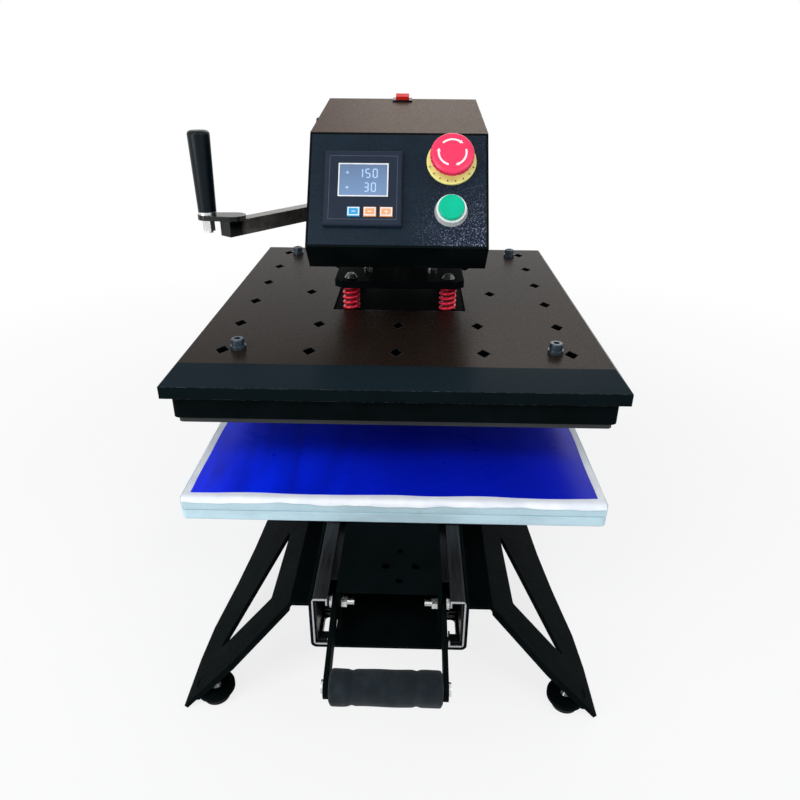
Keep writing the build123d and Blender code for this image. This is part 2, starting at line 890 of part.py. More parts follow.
def heat_platen():
    """Cast heating plate, grooved on top for its heating tube."""
    half_w = heat_w / 2
    half_l = heat_l / 2
    plate = block(-half_w, half_w, -half_l, half_l, heater_z, heat_top_z)
    plate = fillet(plate.edges().filter_by(Axis.Z), 5.0)
    for x, y in corner_places():
        plate -= post(x, y, heat_top_z - 10, heat_top_z + 1, screw_r)
    return plate


def heat_wool():
    """Insulation between the heating plate and the cover."""
    half_w = heat_w / 2 - 6
    half_l = heat_l / 2 - 12
    wool = block(-half_w, half_w, -half_l, half_l, heat_top_z, heat_top_z + wool_t)
    wool -= block(-60.3, 60.3, -60.3, 60.3, heat_top_z - 1, heat_top_z + wool_t + 1)
    for x, y in corner_places():
        wool -= post(x, y, heat_top_z - 1, heat_top_z + wool_t + 1, 8.3)
    return wool


def platen_skirt():
    """Sheet frame round the heating plate that hides its edges down to a narrow band."""
    half_w = heat_w / 2 + skirt_play + skirt_wall
    half_l = heat_l / 2 + skirt_play + skirt_wall
    z0 = heater_z + heat_band
    z1 = cover_z - cover_drop - 2.0
    frame = block(-half_w, half_w, -half_l, half_l, z0, z1)
    frame = fillet(frame.edges().filter_by(Axis.Z), 7.0)
    hole = block(
        -half_w + skirt_wall, half_w - skirt_wall, -half_l + skirt_wall, half_l - skirt_wall,
        z0 - 1, z1 + 1
    )
    frame -= fillet(hole.edges().filter_by(Axis.Z), 5.0)
    for sx in (-1, 1):
        inner = sx * (heat_w / 2 + skirt_play + 0.5)
        ear = sx * (heat_w / 2 - 16)
        for y in (-corner_y, 0, corner_y):
            tab = block(
                min(inner, ear), max(inner, ear), y - 14, y + 14,
                heat_top_z + wool_t, heat_top_z + wool_t + 2
            )
            frame += tab
    return frame


def corner_places():
    return [(sx * corner_x, sy * corner_y) for sy in (-1, 1) for sx in (-1, 1)]


def diamond(x, y):
    half_w = diamond_w / 2
    half_l = diamond_l / 2
    shape = Polygon((half_w, 0), (0, half_l), (-half_w, 0), (0, -half_l), align=None)
    return Pos(x, y, cover_z - 20) * extrude(shape, amount=40, dir=(0, 0, 1))


def diamond_places():
    """Vent holes: full rows at the front and rear, columns at both sides, two inside."""
    places = []
    for row in range(6):
        y = (row - 2.5) * diamond_pitch_y
        for column in range(-2, 3):
            outer_row = row in (0, 1, 4, 5)
            if outer_row or abs(column) == 2:
                places.append((column * diamond_pitch_x, y))
    return places + [(-111.0, 0.0), (111.0, 0.0)]


def platen_cover():
    """Folded sheet cover: a flat top, sloping ends and an upright lip."""
    top = frustum(
        cover_lip_w, cover_lip_l, cover_z - cover_drop, cover_top_w, cover_top_l, cover_z
    )
    lip = block(
        -cover_lip_w / 2, cover_lip_w / 2, -cover_lip_l / 2, cover_lip_l / 2,
        cover_z - cover_drop - cover_lip_h, cover_z - cover_drop
    )
    cavity = frustum(
        cover_lip_w - 2 * cover_t, cover_lip_l - 2 * cover_t, cover_z - cover_drop - cover_t,
        cover_top_w - 2 * cover_t, cover_top_l - 2 * cover_t, cover_z - cover_t
    )
    well = block(
        -cover_lip_w / 2 + cover_t, cover_lip_w / 2 - cover_t,
        -cover_lip_l / 2 + cover_t, cover_lip_l / 2 - cover_t,
        cover_z - cover_drop - cover_lip_h - 1, cover_z - cover_drop - cover_t
    )
    cover = top + lip - cavity - well
    cover -= block(
        -cutout_half_w, cutout_half_w, -cutout_half_l, cutout_half_l, cover_z - 9, cover_z + 9
    )
    for x, y in diamond_places():
        cover -= diamond(x, y)
    for x, y in corner_places():
        cover -= post(x, y, cover_z - 9, cover_z + 9, screw_r + 0.3)
    return cover


def corner_spacers():
    """Spacers under and over the cover at its four screws."""
    parts = []
    for x, y in corner_places():
        for z0, z1 in ((heat_top_z, cover_z - cover_t), (cover_z, cover_z + spacer_h)):
            ring = post(x, y, z0, z1, spacer_r)
            parts.append(ring - post(x, y, z0 - 1, z1 + 1, screw_r + 0.3))
    return join(parts)


def corner_screws():
    """Socket cap screws that clamp the cover to the heating plate."""
    screws = []
    seat = cover_z + spacer_h
    for x, y in corner_places():
        head = post(x, y, seat, seat + cap_head_h, cap_head_r)
        head = chamfer(head.edges().group_by(Axis.Z)[-1], 0.8)
        head -= Pos(x, y, seat + cap_head_h - 4) * extrude(RegularPolygon(3.4, 6), amount=5)
        screws.append(head + post(x, y, heat_top_z - 9, seat, screw_r))
    return join(screws)


# Control box

def box_outline(inset):
    """Side outline of the control box, moved inwards by a wall's thickness."""
    outline = Polygon(
        (chin_y, head_floor_z),
        (panel_foot_y, panel_foot_z),
        (panel_head_y, panel_head_z),
        (box_rear_y, box_rear_z),
        (box_rear_y, head_floor_z),
        align=None,
    )
    if inset:
        outline = offset(outline, amount=-inset, kind=Kind.INTERSECTION)
    half = box_half_w - inset
    solid = extrude(Plane.YZ * outline, amount=2 * half, dir=(1, 0, 0))
    return Pos(-half, 0, 0) * solid


def panel_blank(inset):
    """The sloping face's place, as a slab in the panel's frame."""
    half = box_half_w - inset
    slab = Pos(0, panel_rise / 2, -box_wall / 2) * Box(2 * half, panel_rise - 2 * inset, box_wall)
    return panel_plane * slab


def housing_shell():
    """Folded shell of the control box: two sides, the top and the chin."""
    solid = box_outline(0)
    hollow = box_outline(box_wall)
    floor_cut = block(
        -box_half_w + box_wall, box_half_w - box_wall, chin_y + 3, box_rear_y,
        head_floor_z - 1, head_top_z
    )
    shell = solid - hollow - floor_cut
    shell -= panel_blank(box_wall)
    rear_slot = block(
        -box_half_w + box_wall, box_half_w - box_wall, box_rear_y - 2 * box_wall, box_rear_y + 1,
        head_floor_z - 1, box_rear_z - 6
    )
    shell -= rear_slot
    shell -= bar_x(-box_half_w - 1, -box_half_w + 4, silencer_y, silencer_z, 3.3)
    shell -= switch_place(block(-switch_hole(), switch_hole(), -6.2, 6.2, -9, 9))
    return shell


def switch_hole():
    return rocker_w / 2 + 2.0


def switch_place(shape):
    """Set a shape drawn about (0, 0, 0) on the box's top, near the rear edge."""
    slope = math.degrees(math.atan2(box_rear_z - panel_head_z, box_rear_y - panel_head_y))
    y = box_rear_y - switch_back
    z = box_rear_z - switch_back * math.tan(math.radians(slope))
    return Pos(0, y, z) * Rot(slope, 0, 0) * shape


def control_panel():
    """Sloping front plate, cut for the controller, the button and the stop switch."""
    plate = panel_blank(box_wall + 0.15)
    plate -= on_panel(controller_x, controller_s, Box(controller_w - 6, controller_h - 6, 20))
    plate -= on_panel(button_x, button_s, Cylinder(11.2, 20))
    plate -= on_panel(button_x, estop_s, Cylinder(11.2, 20))
    return plate


def rear_panel():
    """Plate that closes the control box behind, notched for the beam and the inlet."""
    half = box_half_w - box_wall - 0.2
    plate = block(
        -half, half, box_rear_y - box_wall, box_rear_y, head_top_z + 0.2, box_rear_z - 6.5
    )
    plate -= block(
        inlet_x - 14, inlet_x + 14, box_rear_y - 9, box_rear_y + 9, inlet_z - 12, inlet_z + 12
    )
    hose_hole = Pos(hose_x, box_rear_y, head_top_z + 26) * Rot(90, 0, 0) * Cylinder(4.4, 9)
    return plate - hose_hole


def power_inlet():
    """Three-pin mains inlet set in the rear panel."""
    y = box_rear_y
    inlet = block(inlet_x - 16, inlet_x + 16, y, y + 2, inlet_z - 14, inlet_z + 14)
    inlet += block(inlet_x - 13.8, inlet_x + 13.8, y - 18, y, inlet_z - 11.8, inlet_z + 11.8)
    inlet -= block(inlet_x - 11, inlet_x + 11, y - 14, y + 3, inlet_z - 7, inlet_z + 7)
    for x, z in ((0, 3), (-6, -3), (6, -3)):
        pin_x = inlet_x + x
        pin_z = inlet_z + z
        inlet += block(pin_x - 1, pin_x + 1, y - 15, y - 2, pin_z - 2, pin_z + 2)
    return inlet


def controller_body():
    """Temperature and time controller: case behind the panel and bezel in front."""
    case = Box(controller_w - 6.4, controller_h - 6.4, controller_depth)
    case = Pos(0, 0, -controller_depth / 2) * case
    bezel = Pos(0, 0, bezel_t / 2) * Box(controller_w, controller_h, bezel_t)
    bezel = chamfer(bezel.edges().group_by(Axis.Z)[-1], 1.2)
    body = case + bezel
    glass = glass_s - controller_s
    body -= Pos(0, glass, bezel_t - 1.0) * Box(glass_w, glass_h, 2.4)
    depth = key_sunk + key_travel + 0.2
    for k in (-1, 0, 1):
        pocket = Box(key_w + 2 * key_play, key_h + 2 * key_play, depth + 1)
        x = key_shift + k * key_pitch
        body -= Pos(x, key_s - controller_s, bezel_t - depth / 2 + 0.5) * pocket
    return on_panel(controller_x, controller_s, body)


def controller_display():
    """Display glass in the bezel."""
    glass = Pos(0, glass_s - controller_s, bezel_t - 1.2) * Box(glass_w, glass_h, 2.0)
    return on_panel(controller_x, controller_s, glass)


def controller_key(k):
    """One of the three keys under the display."""
    rise = key_sunk + key_proud
    key = Pos(0, 0, bezel_t - key_sunk + rise / 2) * Box(key_w, key_h, rise)
    key = fillet(key.edges().group_by(Axis.Z)[-1], 0.8)
    return on_panel(controller_x + key_shift + k * key_pitch, key_s, key)


def start_button_ring():
    """Metal collar and barrel of the start button."""
    ring = Pos(0, 0, 3.0) * Cone(button_ring_r, button_ring_r - 1.6, 6.0)
    barrel = Pos(0, 0, -12) * Cylinder(11.0, 24)
    body = ring + barrel
    body -= Pos(0, 0, 6) * Cylinder(button_cap_r + running_play, 10)
    body -= Pos(0, 0, -10) * Cylinder(stem_r + running_play, 24)
    return on_panel(button_x, button_s, body)


def start_button():
    """Green cap with its stem, which travels inwards."""
    cap = Pos(0, 0, button_travel + 4.4) * Cylinder(button_cap_r, 6.0)
    cap = fillet(cap.edges().group_by(Axis.Z)[-1], 1.2)
    stem = Pos(0, 0, -4) * Cylinder(stem_r, 18)
    return on_panel(button_x, button_s, cap + stem)


def estop_base():
    """Stop switch: ring on the panel and contact block behind it."""
    ring = Pos(0, 0, 1.25) * Cylinder(estop_ring_r, 2.5)
    ring = chamfer(ring.edges().group_by(Axis.Z)[-1], 0.6)
    neck = Pos(0, 0, 3.5) * Cylinder(13.5, 2.0)
    barrel = Pos(0, 0, -14) * Cylinder(11.0, 28)
    body = ring + neck + barrel
    body -= Pos(0, 0, -6) * Cylinder(stem_r + running_play, 40)
    return on_panel(button_x, estop_s, body)


def estop_low():
    """Height of the mushroom head's underside over the panel."""
    return 4.5 + estop_travel + 0.3


def estop_stem():
    """Plunger that the mushroom head turns on."""
    stem = Pos(0, 0, estop_low() + 5.0 - 14.0) * Cylinder(stem_r, 28)
    return on_panel(button_x, estop_s, stem)


def estop_head():
    """Red mushroom head with a knurled rim, turned to release."""
    low = estop_low()
    head = Pos(0, 0, low + 1.5) * Cone(estop_head_r - 3.0, estop_head_r, 3.0)
    head += Pos(0, 0, low + 6.0) * Cylinder(estop_head_r, 6.0)
    head = fillet(head.edges().group_by(Axis.Z)[-1], small_hole_r)
    groove = Pos(estop_head_r + 0.4, 0, low + 8) * Cylinder(1.0, 30)
    count = 28
    for k in range(count):
        head -= Rot(0, 0, 360 * k / count) * groove
    head -= Pos(0, 0, low) * Cylinder(stem_r + running_play / 2, 10.1)
    return on_panel(button_x, estop_s, head)


def switch_frame():
    """Frame of the power switch on the box's top."""
    half = rocker_w / 2 + 3.5
    frame = block(-half, half, -8.2, 8.2, 0, 2.0)
    frame += block(-switch_hole() + 0.15, switch_hole() - 0.15, -6.0, 6.0, -16, 0)
    frame -= block(-rocker_w / 2 - 0.3, rocker_w / 2 + 0.3, -5.2, 5.2, -10, 3)
    return switch_place(frame)


def power_rocker():
    """Red rocker, tipped to its off side about a pin across the frame."""
    half = rocker_half_l
    points = [
        (-half + 0.5, -3.0), (half - 0.5, -3.0), (half, rocker_top), (0.0, rocker_top - 1.4),
        (-half, rocker_top)
    ]
    body = prism_x(points, -rocker_w / 2, rocker_w / 2)
    return switch_place(Rot(rocker_tilt, 0, 0) * body)


def solenoid_valve():
    """Valve and coil in the box, screwed to the head's floor."""
    body = block(46, 76, -120, -84, head_top_z, head_top_z + 26)
    coil_block = block(49, 73, -114, -90, head_top_z + 26, head_top_z + 48)
    return body + fillet(coil_block.edges().filter_by(Axis.Z), 3.0)


def exhaust_silencer():
    """Small sintered silencer on the left side of the box."""
    y = silencer_y
    z = silencer_z
    body = bar_x(-box_half_w - 8, -box_half_w, y, z, 4.2)
    body = fillet(body.edges().group_by(Axis.X)[0], 2.0)
    return body + bar_x(-box_half_w, -box_half_w + 9, y, z, 3.1)


def regulator_body():
    """Air regulator with its gauge and inlet, bracketed to the beam behind the box."""
    x = beam_w / 2 + regulator_out
    y = box_rear_y + regulator_back
    z = head_top_z + 6
    plate = block(beam_w / 2, beam_w / 2 + 4, y - 20, y + 20, z, z + 36)
    arm = block(beam_w / 2 + 4, x, y - 12, y + 12, z + 6, z + 30)
    bowl = post(x, y, z - 20, z, 13) + post(x, y, z, z + 40, 18)
    gauge = bar_x(x + 17, x + 30, y, z + 18, 5) + bar_x(x + 24, x + 36, y, z + 18, 17)
    inlet = Pos(x, y + 24, z + 18) * Rot(90, 0, 0) * Cylinder(8.0, 26)
    inlet -= Pos(x, y + 32, z + 18) * Rot(90, 0, 0) * Cylinder(4.2, 16)
    neck = post(x, y, z + 40, z + 46, 8)
    length = y - 10 - (box_rear_y - 8)
    pipe = Pos(hose_x, y - 10 - length / 2, z + 20) * Rot(90, 0, 0) * Cylinder(4.0, length)
    return plate + arm + bowl + gauge + inlet + neck + pipe


def regulator_knob():
    """Knob that sets the air pressure."""
    x = beam_w / 2 + regulator_out
    y = box_rear_y + regulator_back
    z = head_top_z + 52.3
    knob = post(x, y, z, z + 22, 15)
    knob = fillet(knob.edges().group_by(Axis.Z)[-1], 2.0)
    count = 16
    for k in range(count):
        angle = 2 * math.pi * k / count
        knob -= post(x + 15.6 * math.cos(angle), y + 15.6 * math.sin(angle), z - 1, z + 19, 1.6)
    return knob


# Swing handle

def swing_handle_arm():
    """Square tube bolted to the box's side, with a flat plate for the grip."""
    z = head_top_z + swing_arm_w / 2 + 2
    foot_x = -box_half_w - swing_foot_t
    run_x = swing_elbow_x - foot_x
    run_y = swing_elbow_y - swing_foot_y
    length = math.hypot(run_x, run_y)
    heading = math.degrees(math.atan2(run_y, run_x))
    place = Pos(foot_x, swing_foot_y, z) * Rot(0, 0, heading)
    hollow_w = swing_arm_w - 2 * swing_arm_wall
    tube = Pos(length / 2, 0, 0) * Box(length + 24, swing_arm_w, swing_arm_w)
    bore = Pos(length / 2 - swing_arm_wall, 0, 0) * Box(length + 24, hollow_w, hollow_w)
    arm = place * (tube - bore)
    arm -= block(foot_x, foot_x + 99, -200, 300, z - 50, z + 50)
    foot = block(
        foot_x, foot_x + swing_foot_t, swing_foot_y - 20, swing_foot_y + 20,
        z - swing_arm_w / 2 - 4, z + swing_arm_w / 2 + 10
    )
    plate_z = swing_plate_top() - swing_plate_t
    wide = Pos(swing_elbow_x, swing_elbow_y) * Circle(13.0)
    narrow = Pos(swing_grip_x, swing_grip_y) * Circle(10.5)
    outline = make_hull((wide + narrow).edges())
    plate = extrude(Pos(0, 0, plate_z) * outline, amount=swing_plate_t, dir=(0, 0, 1))
    plate -= post(swing_grip_x, swing_grip_y, plate_z - 1, plate_z + 30, 4.2)
    return arm + foot + plate


def swing_plate_top():
    """The grip's plate lies on top of the square tube."""
    return head_top_z + 2 + swing_arm_w + swing_plate_t


def swing_grip():
    """Tapered moulded grip that stands on the plate."""
    z0 = swing_plate_top() + 3
    body = Pos(swing_grip_x, swing_grip_y, z0 + swing_grip_l / 2) * Cone(
        swing_grip_r0, swing_grip_r1, swing_grip_l
    )
    body = fillet(body.edges().group_by(Axis.Z)[-1], 4.0)
    return body - post(swing_grip_x, swing_grip_y, z0 - 1, z0 + 30, 4.0)


def swing_grip_bolt():
    """Stud with its collar under the grip and the hexagon nut under the plate."""
    top = swing_plate_top()
    stud = post(swing_grip_x, swing_grip_y, top - swing_plate_t - 14, top + 30, 4.0)
    collar = post(swing_grip_x, swing_grip_y, top, top + 3, 9.6)
    nut_z = top - swing_plate_t - 12
    nut = Pos(swing_grip_x, swing_grip_y, nut_z) * extrude(RegularPolygon(6.5, 6), amount=12)
    return stud + collar + nut


def all_parts():
    """Every sub-part by its name."""
    parts = {
        "base_deck": base_deck(),
        "side_plates": join(both(side_plate())),
        "rubber_feet": rubber_feet(),
        "base_screws": base_screws(),
        "slide_tray": slide_tray(),
        "slide_outer": join(both(slide_outer())),
        "slide_middle": join(both(slide_middle())),
        "slide_inner": join(both(slide_inner())),
        "carriage": carriage(),
        "lower_platen": lower_platen(),
        "silicone_pad": silicone_pad(),
        "white_sheet": white_sheet(),
        "blue_film": blue_film(),
        "handle_arms": handle_arms(),
        "handle_rod": handle_rod(),
        "handle_grip": handle_grip(),
        "drawer_screws": join([platen_screws(), handle_bolts()]),
        "swing_column": swing_column(),
        "pivot_shaft": pivot_shaft(),
        "hub_bushes": hub_bushes(),
        "swing_beam": swing_beam(),
        "guide_bushes": guide_bushes(),
        "cylinder_caps": join([cylinder_rod_cap(), cylinder_top_cap()]),
        "cylinder_barrel": cylinder_barrel(),
        "piston_rod": piston_rod(),
        "return_spring": return_spring(),
        "guide_rods": guide_rods(),
        "bridge_plate": bridge_plate(),
        "float_bolts": float_bolts(),
        "platen_springs": platen_springs(),
        "mount_plate": mount_plate(),
        "heat_platen": heat_platen(),
        "heat_wool": heat_wool(),
        "platen_skirt": platen_skirt(),
        "platen_cover": platen_cover(),
        "corner_spacers": corner_spacers(),
        "corner_screws": corner_screws(),
        "housing_shell": housing_shell(),
        "control_panel": control_panel(),
        "rear_panel": rear_panel(),
        "power_inlet": power_inlet(),
        "controller_body": controller_body(),
        "controller_display": controller_display(),
        "start_button_ring": start_button_ring(),
        "start_button": start_button(),
        "estop_base": estop_base(),
        "estop_stem": estop_stem(),
        "estop_head": estop_head(),
        "switch_frame": switch_frame(),
        "power_rocker": power_rocker(),
        "solenoid_valve": solenoid_valve(),
        "exhaust_silencer": exhaust_silencer(),
        "regulator_body": regulator_body(),
        "regulator_knob": regulator_knob(),
        "swing_handle_arm": swing_handle_arm(),
        "swing_grip": swing_grip(),
        "swing_grip_bolt": swing_grip_bolt(),
    }
    for number, k in ((1, -1), (2, 0), (3, 1)):
        parts["controller_key_" + str(number)] = controller_key(k)
    return parts


os.makedirs("parts", exist_ok=True)
for name, shape in all_parts().items():
    export_step(Pos(0, middle_shift, 0) * shape, "parts/" + name + ".step")
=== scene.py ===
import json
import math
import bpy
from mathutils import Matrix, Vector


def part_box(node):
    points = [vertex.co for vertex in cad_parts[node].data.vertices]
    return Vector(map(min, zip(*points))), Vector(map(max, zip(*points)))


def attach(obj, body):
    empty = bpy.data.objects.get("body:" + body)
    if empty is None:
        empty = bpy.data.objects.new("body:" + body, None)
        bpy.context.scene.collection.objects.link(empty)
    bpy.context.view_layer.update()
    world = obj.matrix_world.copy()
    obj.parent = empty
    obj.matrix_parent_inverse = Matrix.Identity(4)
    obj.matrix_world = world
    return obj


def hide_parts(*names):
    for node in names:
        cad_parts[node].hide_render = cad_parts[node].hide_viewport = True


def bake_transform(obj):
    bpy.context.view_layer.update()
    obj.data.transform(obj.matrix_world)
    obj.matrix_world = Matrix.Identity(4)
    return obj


bl_info = {
    "name": "Heat Press Dressing",
    "version": (1, 0, 0),
    "blender": (4, 5, 0),
    "location": "View3D > Sidebar > Heat Press",
    "description": "Gives the packed model of a heat press its real finishes and soft parts",
    "category": "Object",
}

import bmesh
import bpy
from bpy.props import BoolProperty, FloatProperty, FloatVectorProperty, IntProperty
from mathutils import Matrix, Vector, noise

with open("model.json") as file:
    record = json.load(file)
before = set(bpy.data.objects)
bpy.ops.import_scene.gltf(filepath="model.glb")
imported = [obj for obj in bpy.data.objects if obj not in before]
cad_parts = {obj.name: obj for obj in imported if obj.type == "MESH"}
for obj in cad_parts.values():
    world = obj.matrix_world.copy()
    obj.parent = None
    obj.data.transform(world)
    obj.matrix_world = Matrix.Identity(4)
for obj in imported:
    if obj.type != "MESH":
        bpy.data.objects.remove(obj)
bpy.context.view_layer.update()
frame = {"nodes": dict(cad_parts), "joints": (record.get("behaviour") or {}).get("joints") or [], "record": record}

MM = 0.001


# Selecting and shaping

def alone(obj=None):
    """Leave nothing selected, or only this object, which becomes the active one."""
    active = bpy.context.view_layer.objects.active
    if active is not None and active.mode != "OBJECT":
        bpy.ops.object.mode_set(mode="OBJECT")
    bpy.ops.object.select_all(action="DESELECT")
    if obj is not None:
        obj.select_set(True)
        bpy.context.view_layer.objects.active = obj


def pick_faces(obj, wanted):
    """Open the object's mesh for editing with only the wanted faces selected."""
    alone(obj)
    bpy.ops.object.mode_set(mode="EDIT")
    bpy.ops.mesh.select_mode(type="FACE")
    mesh = bmesh.from_edit_mesh(obj.data)
    for face in mesh.faces:
        face.select_set(wanted(face.calc_center_median(), face.normal))
    mesh.select_flush_mode()
    bmesh.update_edit_mesh(obj.data)


def pick_all(obj):
    """Open the object's mesh for editing with every face selected."""
    pick_faces(obj, lambda centre, normal: True)


def pick_open_edges(obj):
    """Open the object's mesh for editing with only the edges of its openings selected."""
    pick_faces(obj, lambda centre, normal: False)
    bpy.ops.mesh.select_mode(type="EDGE")
    mesh = bmesh.from_edit_mesh(obj.data)
    for edge in mesh.edges:
        edge.select_set(len(edge.link_faces) == 1)
    bmesh.update_edit_mesh(obj.data)


def add_modifier(obj, kind, **settings):
    """Add a modifier with these settings and apply it."""
    alone(obj)
    modifier = obj.modifiers.new(kind.title(), kind)
    for key, value in settings.items():
        setattr(modifier, key, value)
    bpy.ops.object.modifier_apply(modifier=modifier.name)


def apply_place(obj):
    """Move the object's place, turn and scale into its mesh."""
    alone(obj)
    bpy.ops.object.transform_apply(location=True, rotation=True, scale=True)


def outward(obj):
    """Merge doubles and turn every face outwards."""
    pick_all(obj)
    bpy.ops.mesh.remove_doubles(threshold=1e-6)
    bpy.ops.mesh.normals_make_consistent(inside=False)
    bpy.ops.object.mode_set(mode="OBJECT")


def join(pieces):
    """One object out of several, kept under the first one's name."""
    alone(pieces[0])
    for piece in pieces[1:]:
        piece.select_set(True)
    bpy.ops.object.join()
    return pieces[0]


def brick(low, high):
    """A box between two corners."""
    low, high = Vector(low), Vector(high)
    bpy.ops.mesh.primitive_cube_add(size=1, location=(low + high) / 2)
    obj = bpy.context.object
    obj.scale = high - low
    apply_place(obj)
    return obj


def level_grid(width, length, columns, rows, middle=(0, 0, 0)):
    """A level sheet of small faces about its middle."""
    bpy.ops.mesh.primitive_grid_add(
        x_subdivisions=columns, y_subdivisions=rows, size=1, location=middle
    )
    sheet = bpy.context.object
    sheet.scale = (width, length, 1)
    apply_place(sheet)
    return sheet


def finish(obj, name, body, material, smooth=35.0):
    """Name a finished piece, shade it, and let it ride on its body."""
    apply_place(obj)
    alone(obj)
    bpy.ops.object.shade_smooth_by_angle(angle=math.radians(smooth))
    obj.name = name
    obj.data.name = name
    obj.data.materials.clear()
    obj.data.materials.append(material)
    if isinstance(body, str):
        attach(obj, body)
    return obj


def wobble(place, size, seed=0.0):
    """Smooth noise from -1 to 1 at a place, its bumps about this size across."""
    return noise.noise(Vector(place) / size + Vector((seed, seed * 1.7, seed * 0.3)))


# The sloping panel's own directions: x is right, y is up the slope, z is out

def panel_axes():
    """Middle of the panel's lower edge on its face, and its three directions."""
    push = next(j for j in frame["joints"] if j["name"] == "start_push")
    out = -Vector(push["axis"]).normalized()
    right = Vector((1, 0, 0))
    up = out.cross(right)
    places = [v.co for v in frame["nodes"]["control_panel"].data.vertices]
    face = max(place.dot(out) for place in places)
    foot = min(place.dot(up) for place in places)
    return out * face + up * foot, right, up, out


def panel_matrix(x, s, n=0.0):
    """A matrix that sets a piece drawn about the origin at a place on the panel."""
    base, right, up, out = panel_axes()
    turn = Matrix((right, up, out)).transposed().to_4x4()
    place = base + right * x * MM + up * s * MM + out * n * MM
    return Matrix.Translation(place) @ turn


def panel_spot(node):
    """Where a node's middle lies on the panel, right and up, and how far its top stands out, in mm."""
    base, right, up, out = panel_axes()
    places = [v.co - base for v in frame["nodes"][node].data.vertices]
    spans = []
    for way in (right, up):
        reach = [place.dot(way) for place in places]
        spans.append((min(reach) + max(reach)) / 2 / MM)
    return spans[0], spans[1], max(place.dot(out) for place in places) / MM


# Finishes

LACQUER_ROUGHNESS = 0.12

# Places of the mix node's colour sockets, which share their names with its other sockets
FIRST_COLOUR, SECOND_COLOUR, MIXED_COLOUR = 6, 7, 2


def shaded(colour, share, lift=0.0):
    """A colour made darker or lighter by a share, and then raised by a little grey."""
    return tuple(part * share + lift for part in colour)


